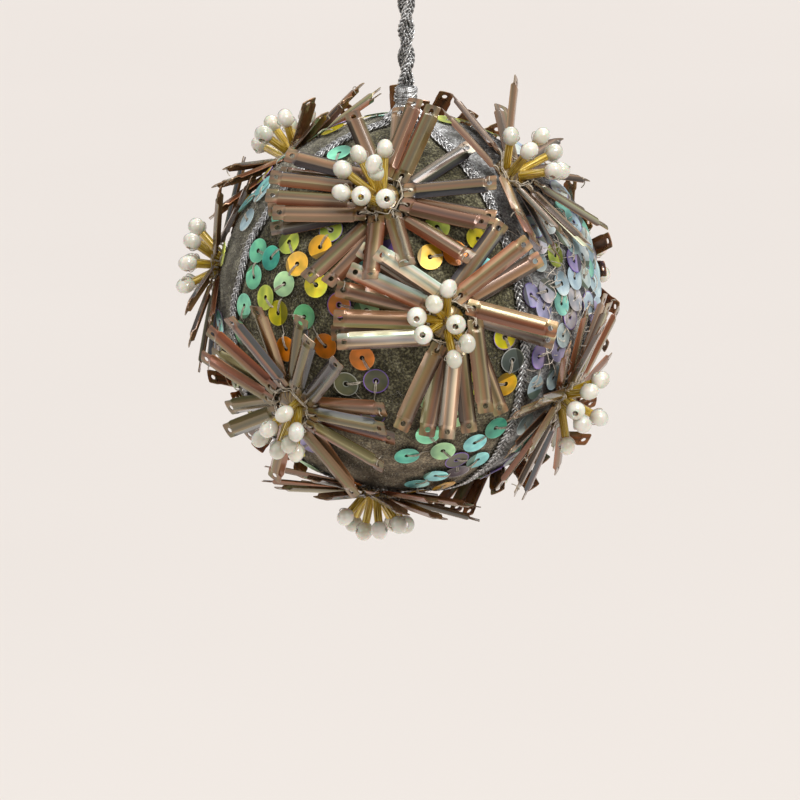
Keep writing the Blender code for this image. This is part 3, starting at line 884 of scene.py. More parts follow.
# Colours of the facets of a bar, in linear light. Dark is painted shade on a side turned away from
# the light; cream, white, mint and silver are painted highlights
PETAL_SHADES = {
    "tan": (0.37, 0.26, 0.155),
    "brown": (0.25, 0.15, 0.085),
    "rose": (0.32, 0.18, 0.125),
    "olive": (0.22, 0.18, 0.08),
    "moss": (0.21, 0.20, 0.075),
    "copper": (0.29, 0.105, 0.05),
    "dark": (0.06, 0.032, 0.02),
    "slate": (0.065, 0.068, 0.095),
    "cream": (0.86, 0.78, 0.64),
    "silver": (0.42, 0.42, 0.40),
    "mint": (0.70, 0.82, 0.64),
    "white": (0.80, 0.90, 0.95),
}
PETAL_PAINTED_HIGHLIGHT = np.array((0.20, 0.18, 0.14))
TOP_SHADES = ("tan", "tan", "brown", "rose", "tan", "brown", "olive")
VARIED_SHADES = ("copper", "slate", "moss", "olive", "brown", "moss", "copper", "tan")
# Side facets: dark among them is painted shade
SIDE_SHADES = ("copper", "dark", "brown", "copper", "rose", "slate", "dark", "olive")

# Painted light and shade per flower: how light its petals look, and the warm or cool cast over them
PETAL_LIGHT_AND_SHADE = {
    "front_top": (0.54, 0.50, 0.45),
    "front_middle": (0.84, 0.83, 0.78),
    "front_left": (0.70, 0.66, 0.58),
    "left_top": (1.02, 1.10, 1.06),
    "left_middle": (0.72, 0.77, 0.75),
    "right_top": (0.88, 0.92, 0.94),
    "right_bottom": (0.76, 0.82, 0.86),
    "bottom_front": (0.62, 0.63, 0.63),
}
OTHER_PETAL_LIGHT_AND_SHADE = (0.98, 0.90, 0.80)

# Flat ends painted lighter as a painted highlight where they catch the key light: the flowers, the
# clock angles between, and how much lighter
LIT_FLOWERS = ("front_top", "front_middle")
LIT_CLOCKS = (30, 110)
LIT_GAIN = 1.5
UNDERSIDE_TONE = (1.15, 0.98, 0.82)

# Petals whose facets the photograph shows plainly, by flower: first and last clock angle, and the
# shades of the side before, of the top from that side to the other, and of the side after. Among
# them cream, white, mint and silver are painted highlights, and dark is painted shade
FACET_SHADES_AND_HIGHLIGHTS = {
    "front_middle": (
        (299, 303, "copper rose cream white"),
        (303, 311, "dark rose white cream"),
        (311, 326, "dark cream mint white"),
        (258, 266, "dark tan white cream"),
        (92, 101, "tan tan copper copper"),
        (103, 108, "tan cream dark dark"),
        (180, 188, "rose cream tan dark"),
    ),
    "front_top": (
        (38, 48, "silver silver silver slate"),
        (240, 252, "slate silver olive olive"),
        (0, 3, "cream tan olive brown"),
    ),
    "right_top": (
        (186, 200, "mint cream tan dark"),
        (158, 166, "tan cream mint cream"),
    ),
    "front_left": (
        (0, 12, "dark olive tan brown"),
        (12, 30, "dark olive moss slate"),
        (30, 60, "slate slate slate dark"),
        (85, 100, "slate moss olive dark"),
        (100, 112, "rose slate copper dark"),
        (112, 135, "moss moss copper slate"),
        (135, 170, "brown olive tan olive"),
        (240, 285, "slate moss olive moss"),
        (285, 312, "slate moss copper copper"),
        (312, 345, "dark slate rose slate"),
    ),
}


def welded(mesh):
    """A mesh's points and edges with those at the same place counted once."""
    seen = {}
    index_of = []
    for vert in mesh.vertices:
        key = tuple(round(value * 1e6) for value in vert.co)
        index_of.append(seen.setdefault(key, len(seen)))
    points = [None] * len(seen)
    for vert, index in zip(mesh.vertices, index_of):
        points[index] = vert.co.copy()
    edges = {frozenset((index_of[a], index_of[b])) for a, b in (edge.vertices for edge in mesh.edges)}
    return points, [tuple(edge) for edge in edges if len(edge) == 2]


def read_petals(flower):
    """The bars of a flower's packed petals node: each has four corners far from the flower's axis."""
    to_row = body_frame(flower)
    to_flower = to_row.inverted()
    points, edges = welded(frame["nodes"][f"flower_{flower.name}_petals"].data)
    local = [to_flower @ point for point in points]
    far = [math.hypot(point.x, point.y) > 2 * RING_RADIUS for point in local]
    linked = {index: set() for index in range(len(points))}
    for a, b in edges:
        linked[a].add(b)
        linked[b].add(a)
    found = []
    left = {index for index, is_far in enumerate(far) if is_far}
    while left:
        group = {left.pop()}
        growing = list(group)
        while growing:
            for other in linked[growing.pop()]:
                if other in left:
                    left.discard(other)
                    group.add(other)
                    growing.append(other)
        roots = {other for index in group for other in linked[index] if not far[other]}
        tip = sum((local[index] for index in group), Vector()) / len(group)
        root = sum((local[index] for index in roots), Vector()) / len(roots)
        along = (tip - root).normalized()
        across = Vector((along.y, -along.x, 0)).normalized()
        clock = math.degrees(math.atan2(tip.x, tip.y)) % 360
        found.append(Petal(clock, to_row @ root, to_row.to_3x3() @ along, to_row.to_3x3() @ across,
                           to_row.to_3x3() @ across.cross(along)))
    return sorted(found, key=lambda petal: tuple(petal.root))


def petal_stations():
    """Places along the bar: close together at both ends, far apart in its middle."""
    first = [value * MM for value in PETAL_STATIONS]
    second = [BAR_LENGTH - value for value in reversed(first[:-1])]
    return np.array(first + second)


def petal_template():
    """One bar as a thin closed sheet with its two holes, along X from its inner end, arched in Z."""
    stations = petal_stations()
    length = stations[-1]
    ways = [-way for way in reversed(PETAL_WAYS)] + list(PETAL_WAYS)
    from_end = np.minimum(stations, length - stations)
    corner = np.clip(PETAL_CORNER - from_end, 0, PETAL_CORNER)
    half_width = PETAL_HALF_WIDTH - PETAL_CORNER + np.sqrt(PETAL_CORNER ** 2 - corner ** 2)
    full = smooth_step(from_end, 1.8 * MM, 2.6 * MM)
    half_width = half_width * (PETAL_END_SHARE + (1 - PETAL_END_SHARE) * full)
    verts = []
    for lower in (0, PETAL_SHEET):
        for place, half in zip(stations, half_width):
            for way in ways:
                verts.append((place, way * half, sheet_height(place, way, length) - lower))
    rows = len(stations)
    columns = len(ways)
    top = strip_faces(rows, columns, closed=False)
    shift = rows * columns
    faces = [tuple(reversed(face)) for face in top]
    faces += [tuple(corner + shift for corner in face) for face in top]
    rim = list(range(columns))
    rim += [row * columns + columns - 1 for row in range(1, rows)]
    rim += [(rows - 1) * columns + column for column in range(columns - 2, -1, -1)]
    rim += [row * columns for row in range(rows - 2, 0, -1)]
    for here, after in zip(rim, rim[1:] + rim[:1]):
        faces.append((here, after, after + shift, here + shift))
    return cut_holes(verts, faces, (PETAL_HOLE_INSET, length - PETAL_HOLE_INSET))


def underside(points):
    """True for the template's points that are on the lower side of the sheet."""
    top = sheet_height(points[:, 0], points[:, 1] / PETAL_HALF_WIDTH, BAR_LENGTH)
    return points[:, 2] < top - PETAL_SHEET / 2


def sheet_height(place, way, length):
    """Height of the sheet's upper side, at a place along the bar and a share of its half width."""
    from_end = np.minimum(place, length - place)
    full = smooth_step(from_end, PETAL_FLAT_END, PETAL_FLAT_END + PETAL_RAMP)
    arch = PETAL_END_ARCH + (PETAL_ARCH - PETAL_END_ARCH) * full
    drop = PETAL_END_DROP + (PETAL_EDGE_DROP - PETAL_END_DROP) * full
    return arch * np.interp(np.abs(way), PETAL_WAYS, PETAL_CROWN) - drop


def cut_holes(verts, faces, places):
    mesh = bpy.data.meshes.new("bar")
    mesh.from_pydata(verts, [], faces)
    bar = bpy.data.objects.new("bar", mesh)
    bpy.context.scene.collection.objects.link(bar)
    drills = bpy.data.collections.new("drills")
    for place in places:
        through = [(place, 0, -1 * MM), (place, 0, 1 * MM)]
        drill_verts, drill_faces, _ = sweep(through, PETAL_HOLE_RADIUS, 12)
        drill_mesh = bpy.data.meshes.new("drill")
        drill_mesh.from_pydata(drill_verts.tolist(), [], drill_faces)
        drills.objects.link(bpy.data.objects.new("drill", drill_mesh))
    cut = bar.modifiers.new("holes", "BOOLEAN")
    cut.operation = "DIFFERENCE"
    cut.solver = "EXACT"
    cut.operand_type = "COLLECTION"
    cut.collection = drills
    result = bar.evaluated_get(bpy.context.evaluated_depsgraph_get()).to_mesh()
    points = np.array([vert.co for vert in result.vertices])
    polygons = [tuple(face.vertices) for face in result.polygons]
    bpy.data.objects.remove(bar)
    for drill in list(drills.objects):
        bpy.data.objects.remove(drill)
    bpy.data.collections.remove(drills)
    return points, polygons


def edge_on_turn(flower, petal):
    """The turn about a petal's length, as a share of the one that would hide its face from the front."""
    rows = EDGE_ON.get(flower.name, ())
    shares = [share for first, last, share in rows if first <= petal.clock <= last]
    if not shares:
        return 0
    turn = math.atan2(petal.above.dot(CAMERA_WAY), petal.across.dot(CAMERA_WAY))
    if turn > math.pi / 2:
        turn -= math.pi
    if turn < -math.pi / 2:
        turn += math.pi
    return turn * shares[0]


def facet_shades(flower, petal, rng):
    """A bar's colours going clockwise: a side, the top from there to the other side, and that side."""
    tops = VARIED_SHADES if flower.name == "front_left" else TOP_SHADES
    names = (rng.choice(SIDE_SHADES), rng.choice(tops), rng.choice(tops), rng.choice(SIDE_SHADES))
    # Listed petals take their facets from the table, painted highlights and painted shade among them
    for first, last, listed_shades in FACET_SHADES_AND_HIGHLIGHTS.get(flower.name, ()):
        if first <= petal.clock <= last:
            names = listed_shades.split()
    return [np.array(PETAL_SHADES[name]) for name in names]


def petal_tone(flower, petal, points, below, rng):
    """Colours over the bar: one for each facet, pale cut edges and flat ends, and a brown underside;
    painted highlights on creases, hole rims and lit flat ends, and painted light and shade per flower.
    """
    ways = (points[:, 1] / PETAL_HALF_WIDTH)[:, None]
    places = (points[:, 0] / BAR_LENGTH)[:, None]
    before, near, far, after = facet_shades(flower, petal, rng)
    drift = smooth_step(ways + rng.uniform(-0.5, 0.5) * (places - 0.5) * 2, -0.45, 0.45)
    top = near * (1 - drift) + far * drift
    slant = 1 + rng.uniform(-0.3, 0.3) * ways + rng.uniform(-0.35, 0.35) * (places - 0.5)
    side = np.where(ways < 0, before, after)
    share = smooth_step(np.abs(ways), PETAL_WAYS[1], PETAL_WAYS[2])
    ends = smooth_step(np.abs(places - 0.5), 0.39, 0.44)
    pale = (top * 0.6 + np.array(PETAL_SHADES["tan"]) * 0.4) * rng.uniform(0.7, 1.15)
    # Painted highlight: the lit flowers' flat ends are painted lighter
    if flower.name in LIT_FLOWERS and LIT_CLOCKS[0] < petal.clock < LIT_CLOCKS[1]:
        pale = pale * LIT_GAIN
    # Painted highlight round the holes
    pale = pale + hole_rims(points) * PETAL_PAINTED_HIGHLIGHT
    # Painted highlight along each crease, of random strength on either side
    crease = 1 - smooth_step(np.abs(np.abs(ways) - PETAL_WAYS[1]), 0.07, 0.12)
    bright = np.where(ways < 0, rng.uniform(0, 1.3), rng.uniform(0, 1.3))
    upper = (top * (1 - share) + side * share) * slant + crease * bright * PETAL_PAINTED_HIGHLIGHT
    upper = upper * (1 - ends) + pale * ends
    upper = upper * (1 + 0.7 * smooth_step(np.abs(ways), PETAL_WAYS[3], 1.0))
    under = np.array(PETAL_SHADES["brown"]) * UNDERSIDE_TONE + 0 * ways
    # Painted light and shade per flower, with a random part for each petal
    tone = np.array(PETAL_LIGHT_AND_SHADE.get(flower.name, OTHER_PETAL_LIGHT_AND_SHADE)) * rng.uniform(0.85, 1.12)
    return np.where(below[:, None], under, upper) * tone


def hole_rims(points):
    """One round a bar's two holes, where the pressed-in film shines: the mask of a painted highlight."""
    from_hole = np.minimum(points[:, 0], BAR_LENGTH - points[:, 0]) - PETAL_HOLE_INSET
    reach = np.hypot(from_hole, points[:, 1])
    return (1 - smooth_step(reach, PETAL_HOLE_RADIUS, 1.3 * PETAL_HOLE_RADIUS))[:, None]


def petals(flower, template, material, seed):
    points, polygons = template
    rng = np.random.default_rng(seed)
    heap = Heap()
    base_coords = np.stack([points[:, 0] / BAR_LENGTH, points[:, 1] / PETAL_HALF_WIDTH / 2 + 0.5], axis=1)
    below = underside(points)
    for petal in read_petals(flower):
        turn = math.radians(rng.normal(0, 3)) + edge_on_turn(flower, petal)
        across = petal.across * math.cos(turn) + petal.above * math.sin(turn)
        above = petal.above * math.cos(turn) - petal.across * math.sin(turn)
        lift = rng.normal(0, 0.10) * MM * (np.sin(points[:, 0] / BAR_LENGTH * math.pi) - 0.3)
        place = np.array(petal.root) + np.outer(points[:, 0] + PETAL_INNER_END, petal.along)
        place = place + np.outer(points[:, 1], across) + np.outer(points[:, 2] + lift, above)
        coords = base_coords.copy()
        window = rng.uniform(0.32, 0.68)
        coords[:, 1] = window + (coords[:, 1] - 0.5) * rng.choice((-0.6, 0.6))
        heap.add(place, polygons, coords, petal_tone(flower, petal, points, below, rng))
    made = heap.build(f"petals_{flower.name}", material, sharp=20)
    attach(made, "root")
    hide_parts(f"flower_{flower.name}_petals")
    return made


# Stamens

# The stamen that ends in two beads, and how far the second is over the first
DOUBLED_BEAD = ("front_top", 0)
DOUBLED_STEP = 2.3 * MM
BUTTON_TONE = (0.30, 0.25, 0.20)
BUTTON_PROFILE = ((0.1, 0), (3.6, 0), (3.4, 0.9), (2.4, 1.5), (0.1, 1.7))

# A stop thread's points: millimetres aside of its bead and along its stamen
STOP_THREAD = ((1.2, 0), (1.9, 0), (1.95, -0.6), (1.35, -1.5), (0.3, -2.1), (0, -3.2))


def lathe(profile, sides):
    """A closed ring of (radius, height) points turned round Z."""
    profile = np.asarray(profile, float)
    angles = 2 * math.pi * np.arange(sides) / sides
    verts = []
    for radius, height in profile:
        ring = [radius * np.cos(angles), radius * np.sin(angles), np.full(sides, height)]
        verts.append(np.stack(ring, axis=1))
    count = len(profile)
    faces = strip_faces(count, sides)
    for side in range(sides):
        after = (side + 1) % sides
        last = (count - 1) * sides
        faces.append((last + side, last + after, after, side))
    return np.concatenate(verts), faces, wrap_coords(profile[:, 1], sides)


def bugle_shape():
    inner = 0.42 * MM
    lip = 0.10 * MM
    profile = (
        (inner, 0.02 * MM), (BUGLE_RADIUS - lip, 0), (BUGLE_RADIUS, lip),
        (BUGLE_RADIUS, BUGLE_LENGTH / 2), (BUGLE_RADIUS, BUGLE_LENGTH - lip),
        (BUGLE_RADIUS - lip, BUGLE_LENGTH), (inner, BUGLE_LENGTH))
    return lathe(profile, 12)


def bead_shape():
    hole = 0.58 * MM
    half = BEAD_LENGTH / 2
    first = math.asin(hole * 1.25 / BEAD_RADIUS)
    turns = np.linspace(first, math.pi - first, 11)
    outer = [(BEAD_RADIUS * math.sin(turn), -half * math.cos(turn)) for turn in turns]
    low = outer[0][1]
    high = outer[-1][1]
    inner = [(hole, high - 0.12 * MM), (hole * 0.95, 0), (hole, low + 0.12 * MM)]
    return lathe(outer + inner, 20)


def along_frame(along):
    """Two unit vectors square to a way and to each other."""
    along = Vector(along)
    first = along.orthogonal().normalized()
    return first, along.cross(first)


def put(verts, origin, along, spin=0.0, scale=(1, 1, 1)):
    """Turns a shape made round Z to stand along a way at an origin."""
    first, second = along_frame(along)
    cos, sin = math.cos(spin), math.sin(spin)
    x = np.array(first * cos + second * sin)
    y = np.array(second * cos - first * sin)
    verts = verts * np.array(scale)
    flat = np.array(origin) + np.outer(verts[:, 0], x) + np.outer(verts[:, 1], y)
    return flat + np.outer(verts[:, 2], along)


def stamen_lines(flower):
    """The foot and the way of each stamen, in the row's space."""
    to_row = body_frame(flower)
    lines = []
    for clock, tilt in flower.stamens:
        foot = polar(clock, STAMEN_FOOT_RADIUS if tilt > 10 else 0, STAMEN_FOOT_HEIGHT)
        lean = math.radians(tilt)
        lines.append((to_row @ foot, to_row.to_3x3() @ polar(clock, math.sin(lean), math.cos(lean))))
    return lines


def hole_way(flower, number, along, rng):
    """A bead is the stop of its thread, so that its hole lies across the stamen."""
    side = along.cross(CAMERA_WAY).normalized()
    if number in HOLES_IN_FRONT.get(flower.name, ()):
        return (CAMERA_WAY + side * rng.normal(0, 0.2) + CAMERA_UP * rng.normal(0, 0.2)).normalized()
    return (side + along.cross(side) * rng.normal(0, 0.35)).normalized()


def button_shape():
    """The low dome of amber glass and glue that the bugles stand in."""
    return lathe(np.array(BUTTON_PROFILE) * MM, 14)


def offsets(spot, aside, up, places):
    """Points beside a spot, at millimetres along two ways."""
    return [spot + aside * MM * out + up * MM * high for out, high in places]


def stop_thread(heap, spot, along, across, shade):
    """The thread that comes out of both ends of the bead's hole and goes down into the bugle."""
    for side in (-1, 1):
        points = offsets(spot, across * side, along, STOP_THREAD)
        heap.add_thread(even_route(points, STITCH_STEP), FINE_THREAD_RADIUS, shade)


def stamens(flower, gold, pearl, thread, seed):
    rng = np.random.default_rng(seed)
    bugles = Heap()
    beads = Heap()
    threads = Heap()
    bugle_verts, bugle_faces, bugle_coords = bugle_shape()
    bead_verts, bead_faces, bead_coords = bead_shape()
    button_verts, button_faces, button_coords = button_shape()
    to_row = body_frame(flower)
    button = put(button_verts, to_row.translation, to_row.to_3x3() @ Vector((0, 0, 1)))
    bugles.add(button, button_faces, button_coords, BUTTON_TONE)
    for number, (foot, along) in enumerate(stamen_lines(flower)):
        shade = rng.uniform(0.85, 1.15)
        coords = bugle_coords + rng.uniform(0, 40, 2)
        bugles.add(put(bugle_verts, foot, along, rng.uniform(0, 6)), bugle_faces, coords, grey(shade))
        doubled = (flower.name, number) == DOUBLED_BEAD
        for storey in range(2 if doubled else 1):
            spot = foot + along * (BUGLE_LENGTH + BEAD_LENGTH / 2 + storey * DOUBLED_STEP)
            across = hole_way(flower, number, along, rng)
            shade = rng.uniform(0.9, 1.06)
            size = rng.uniform(0.94, 1.0)
            spread = (size, size * rng.uniform(0.97, 1.0), rng.uniform(0.92, 1.05))
            beads.add(put(bead_verts, spot, across, rng.uniform(0, 6), spread), bead_faces, bead_coords,
                      (shade, shade, shade * rng.uniform(0.95, 1.0)))
        stop_thread(threads, spot, along, across, rng.uniform(0.9, 1.4))
    made = bugles.build(f"bugles_{flower.name}", gold)
    pearls = beads.build(f"pearls_{flower.name}", pearl)
    stops = threads.build(f"stops_{flower.name}", thread, sharp=0)
    for piece in (made, pearls, stops):
        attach(piece, "root")
    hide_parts(f"flower_{flower.name}_stamens")
    return made, pearls, stops


# Sewing round the feet of the stamens and over the inner ends of the petals

SEWING_STEP = 0.3 * MM
SEWING_RADIUS = THREAD_RADIUS * 0.85

# Share of the petals that are stitched at their outer holes too, and such a stitch's points:
# millimetres aside of the hole and above it
TIP_STITCH_SHARE = 0.12
TIP_STITCH = ((0, 0.2), (0.8, 0.5), (1.7, -0.2), (1.6, -1.3))


def sewing(flower, material, seed):
    """A double line of thread through the petals' inner holes, and stitches at some outer holes."""
    rng = np.random.default_rng(seed)
    to_row = body_frame(flower)
    to_flower = to_row.inverted()
    heap = Heap()

    def add_line(points, shade):
        smooth = even_route(points, SEWING_STEP)
        heap.add_thread([to_row @ Vector(point) for point in smooth], SEWING_RADIUS, shade)

    knots = []
    for petal in read_petals(flower):
        root = to_flower @ petal.root
        along = to_flower.to_3x3() @ petal.along
        above = to_flower.to_3x3() @ petal.above
        hole = root + along * (PETAL_INNER_END + PETAL_HOLE_INSET)
        inner = root + along * (PETAL_INNER_END - 0.35 * MM) + above * 0.15 * MM
        knots.append((math.atan2(inner.x, inner.y), inner, above))
        sideways = along.cross(above)
        for side in (-1, 1):
            shift = sideways * 0.13 * MM * side
            points = [hole - above * 0.4 * MM,
                      hole + above * 0.15 * MM,
                      hole - along * 0.6 * MM + above * 0.32 * MM + shift,
                      inner + shift * 1.5,
                      inner - above * 0.5 * MM - along * 0.5 * MM + shift,
                      inner * 0.82 - above * 0.9 * MM]
            add_line(points, rng.uniform(0.9, 1.6))
        if rng.uniform() < TIP_STITCH_SHARE:
            tip = root + along * (PETAL_LENGTH - PETAL_HOLE_INSET)
            turn = rng.choice((-1, 1))
            add_line(offsets(tip, sideways * turn, above, TIP_STITCH), rng.uniform(0.9, 1.5))
    knots.sort(key=lambda knot: knot[0])
    for strand in range(2):
        ring = [inner + above * (0.25 + 0.3 * strand) * MM + polar(rng.uniform(0, 360), 0.25 * MM, 0)
                for _, inner, above in knots]
        ring.append(ring[0])
        add_line(ring, rng.uniform(1.1, 1.6))
    made = heap.build(f"sewing_{flower.name}", material, sharp=0)
    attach(made, "root")
    return made


# Ball

BALL_ROWS = 180
BALL_COLUMNS = 360
BALL_UNEVENNESS = 0.12 * MM
BALL_WAVES = ((31, 17, 9), (-12, 28, 23), (19, -25, 33))
CHANNEL_HALF_WIDTH = 1.3 * MM
LEFT_GORE_SHARE = 0.15
GORE_BLEND_DEGREES = 6
FLEECE_LATITUDES = (12, 42)

# Waves of the painted light and dark patches of sheen in the nap
PATCH_WAVES = ((131, 57, 79), (-62, 148, 73), (109, -85, 133), (-97, -121, 66), (43, 92, -171))


def seam_distance(latitudes, longitudes):
    """Distance along the ball to the nearest seam, for arrays of degrees."""
    nearest = np.full(np.broadcast(latitudes, longitudes).shape, 1.0)
    for seam in SEAM_LONGITUDES:
        swing = np.radians((longitudes - seam + 180) % 360 - 180)
        away = BALL_RADIUS * np.abs(swing) * np.cos(np.radians(latitudes))
        nearest = np.minimum(nearest, away)
    return nearest


def gore_shade(longitudes):
    """How much painted silver sheen the nap gets, as each gore's pile leans its own way."""
    right = gore_share(longitudes, *SEAM_LONGITUDES[:2])
    return right + LEFT_GORE_SHARE * gore_share(longitudes, *SEAM_LONGITUDES[1:])


def gore_share(longitudes, first, last):
    """One between two seams and nought outside them."""
    inside = (longitudes - first) % 360
    width = last - first
    blend = GORE_BLEND_DEGREES
    return smooth_step(inside, 0, blend) * (1 - smooth_step(inside, width - blend, width))


def fleece_share(latitudes):
    """The pile is lighter and fleecier low on the ball."""
    return smooth_step(-latitudes, *FLEECE_LATITUDES)


def sunk_depth(latitudes, longitudes):
    """How deep the velvet is drawn in along the seams."""
    return SEAM_DEPTH * np.exp(-(seam_distance(latitudes, longitudes) / CHANNEL_HALF_WIDTH) ** 2)


def ball(material):
    rows = BALL_ROWS
    columns = BALL_COLUMNS
    latitudes = np.repeat(np.linspace(-90, 90, rows + 1)[1:-1], columns)
    longitudes = np.tile(np.arange(columns) * 360 / columns, rows - 1)
    ways = unit_ways(latitudes, longitudes)
    sunk = sunk_depth(latitudes, longitudes)
    uneven = sum(np.sin(ways @ np.array(wave)) for wave in BALL_WAVES) / len(BALL_WAVES)
    radius = BALL_RADIUS - sunk + BALL_UNEVENNESS * uneven
    verts = np.array(BALL_CENTRE) + ways * radius[:, None]
    up = Vector((0, 0, BALL_RADIUS))
    poles = np.array([BALL_CENTRE - up, BALL_CENTRE + up])
    faces = strip_faces(rows - 1, columns)
    bottom = len(verts)
    last = (rows - 2) * columns
    for column in range(columns):
        after = (column + 1) % columns
        faces.append((bottom, after, column))
        faces.append((bottom + 1, last + column, last + after))
    tones = np.stack([gore_shade(longitudes), fleece_share(latitudes), 0 * latitudes], axis=1)
    tones = np.concatenate([tones, np.zeros((2, 3))])
    heap = Heap()
    heap.add(np.concatenate([verts, poles]), faces, tone=tones)
    made = heap.build("velvet_ball", material, sharp=0)
    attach(made, "root")
    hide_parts("ball")


def unit_ways(latitudes, longitudes):
    lat = np.radians(latitudes)
    lon = np.radians(longitudes)
    return np.stack([np.cos(lat) * np.sin(lon), -np.cos(lat) * np.cos(lon), np.sin(lat)], axis=1)


def pile(material):
    """Short leaning fibres all over the ball, one triangle each."""
    rng = np.random.default_rng(11)
    height = rng.uniform(-1, 1, PILE_COUNT)
    longitudes = rng.uniform(0, 360, PILE_COUNT)
    latitudes = np.degrees(np.arcsin(height))
    ways = unit_ways(latitudes, longitudes)
    depth = sunk_depth(latitudes, longitudes) + PILE_ROOT_DEPTH
    roots = np.array(BALL_CENTRE) + ways * (BALL_RADIUS - depth)[:, None]
    swirl = rng.normal(0, 1, (PILE_COUNT, 3)) + np.array((0.3, 0, -0.8))
    flat = unit(swirl - ways * np.sum(swirl * ways, axis=1)[:, None])
    lean = np.radians(rng.uniform(35, 78, PILE_COUNT))[:, None]
    along = ways * np.cos(lean) + flat * np.sin(lean)
    side = unit(np.cross(along, rng.normal(0, 1, (PILE_COUNT, 3))))
    length = rng.uniform(0.4, 1.0, PILE_COUNT)[:, None] * PILE_LENGTH
    half = side * PILE_WIDTH / 2
    verts = np.stack([roots - half, roots + half, roots + along * length], axis=1)
    # Painted light and shade on each fibre: most are painted dark, as in the shade of the others, and a few
    # light, under patches of painted sheen
    light = rng.uniform(0, 1, PILE_COUNT) ** 2.2 * patches(ways)
    silver_sheen = gore_shade(longitudes)
    olive = (0.028 + 0.36 * light) * (1 + 0.8 * fleece_share(latitudes))
    # Fibres of the gores with painted silver sheen are painted lighter and bluer
    shade = olive * (1 - silver_sheen) + (0.13 + 0.55 * light) * silver_sheen
    colour = shade[:, None] * (np.array(PILE_TINT) + silver_sheen[:, None] * np.array(PILE_SHEEN_TINT))
    heap = Heap()
    faces = np.arange(3 * PILE_COUNT).reshape(-1, 3).tolist()
    heap.add(verts.reshape(-1, 3), faces, tone=np.repeat(np.clip(colour, 0, 1), 3, axis=0))
    made = heap.build("velvet_pile", material, sharp=0)
    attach(made, "root")


def patches(ways):
    """Painted sheen: how much light each patch of the nap throws back, from a half to one and a half."""
    height = sum(np.sin(ways @ np.array(wave) + wave[0]) for wave in PATCH_WAVES)
    return 1 + 0.5 * np.clip(height / 2, -1, 1)


# Round sequins

Sequin = namedtuple("Sequin", "way normal height colour tries")


def sequin_shape():
    """A holed disc, a little cupped, its hole at the origin and its face up Z."""
    radii = (SEQUIN_HOLE, SEQUIN_HOLE * 1.5, SEQUIN_RADIUS * 0.62, SEQUIN_RADIUS * 0.9, SEQUIN_RADIUS)
    rises = (0, 0.03 * MM, SEQUIN_CUP * 0.35, SEQUIN_CUP * 0.8, SEQUIN_CUP)
    profile = [(radius, rise) for radius, rise in zip(radii, rises)]
    profile += [(SEQUIN_RADIUS, SEQUIN_CUP - SEQUIN_SHEET), (SEQUIN_HOLE, -SEQUIN_SHEET)]
    return lathe(profile, SEQUIN_SIDES)


def tree_of(objects):
    verts = []
    faces = []
    for thing in objects:
        start = len(verts)
        verts.extend(thing.matrix_world @ vert.co for vert in thing.data.vertices)
        faces.extend([start + corner for corner in face.vertices] for face in thing.data.polygons)
    return BVHTree.FromPolygons(verts, faces)


def around(way, angle):
    """The unit vector that is square to a way, at an angle round it."""
    first, second = along_frame(way)
    return first * math.cos(angle) + second * math.sin(angle)


def tilted(way, lean, clock):
    """A way leant from itself towards a clock angle round it."""
    lean = math.radians(lean)
    return (Vector(way) * math.cos(lean) + around(way, math.radians(clock)) * math.sin(lean)).normalized()


# The shingled panel on the right: the longitude that its leaning sequins face, its middle, the degrees
# between its rows and columns, its two sides, and how far a sequin leans on the one below it
PANEL_FACING = 64
PANEL_LATITUDE = 6
PANEL_LONGITUDE = 84
PANEL_ROW_STEP = 4.6
PANEL_COLUMN_STEP = 6.9
PANEL_SIDES = (41, 112)
PANEL_LEAN = 0.12
PANEL_COLOURS = ("ice", "frost", "pearly", "ice", "lilac", "frost", "aqua", "pearly", "lilac",
                 "ice", "frost", "ice")

# The scatter over the rest of the ball: each sequin is turned on from the last by the golden angle
SCATTER_COUNT = 420
GOLDEN_ANGLE = 137.508
SCATTER_COLOURS = ("mint", "sky", "lime", "gold", "orange", "teal", "pale", "clear", "yellow", "lilac")

# How often a place is tried for a sequin of the photograph, of the panel and of the scatter, how far it
# is moved each time, and within which distance of another disc it is tested against it
SEEN_TRIES = 9
PANEL_TRIES = 1
SCATTER_TRIES = 2
MOVE_STEP = 0.35 * MM
TEST_REACH = 2.1 * SEQUIN_RADIUS

# Share of the discs whose painted rim highlight is violet, a painted reflection of iridescence
VIOLET_RIM_SHARE = 0.22


def panel_way(way):
    """Downhill to the right on the ball: the way in which the panel's sequins lie over each other."""
    slope = Vector((0.35, 0.2, -0.9))
    return (slope - way * slope.dot(way)).normalized()


def seen_sequins(rng):
    """The sequins that the photograph shows one by one."""
    for x, y, colour in SEEN_SEQUINS:
        way = photo_on_ball(x, y, BALL_RADIUS + SEQUIN_HEIGHT)
        normal = tilted(way, rng.uniform(0, 6), rng.uniform(0, 360))
        yield Sequin(way, normal, SEQUIN_HEIGHT, colour, SEEN_TRIES)


def panel_sequins(rng):
    """Rows of sequins that lie over each other like shingles."""
    for row in range(-11, 12):
        latitude = PANEL_LATITUDE + row * PANEL_ROW_STEP
        narrowing = max(math.cos(math.radians(latitude)), 0.3)
        for column in range(-8, 9):
            longitude = PANEL_LONGITUDE + (column + 0.5 * (row % 2)) * PANEL_COLUMN_STEP / narrowing
            if not PANEL_SIDES[0] < longitude < PANEL_SIDES[1]:
                continue
            way = towards(latitude + rng.normal(0, 0.5), longitude + rng.normal(0, 0.6))
            facing = towards(latitude, PANEL_FACING + 0.35 * (longitude - PANEL_FACING))
            normal = facing * math.cos(PANEL_LEAN) + panel_way(way) * -math.sin(PANEL_LEAN)
            colour = str(rng.choice(PANEL_COLOURS))
            yield Sequin(way, normal.normalized(), 1.3 * SEQUIN_HEIGHT, colour, PANEL_TRIES)


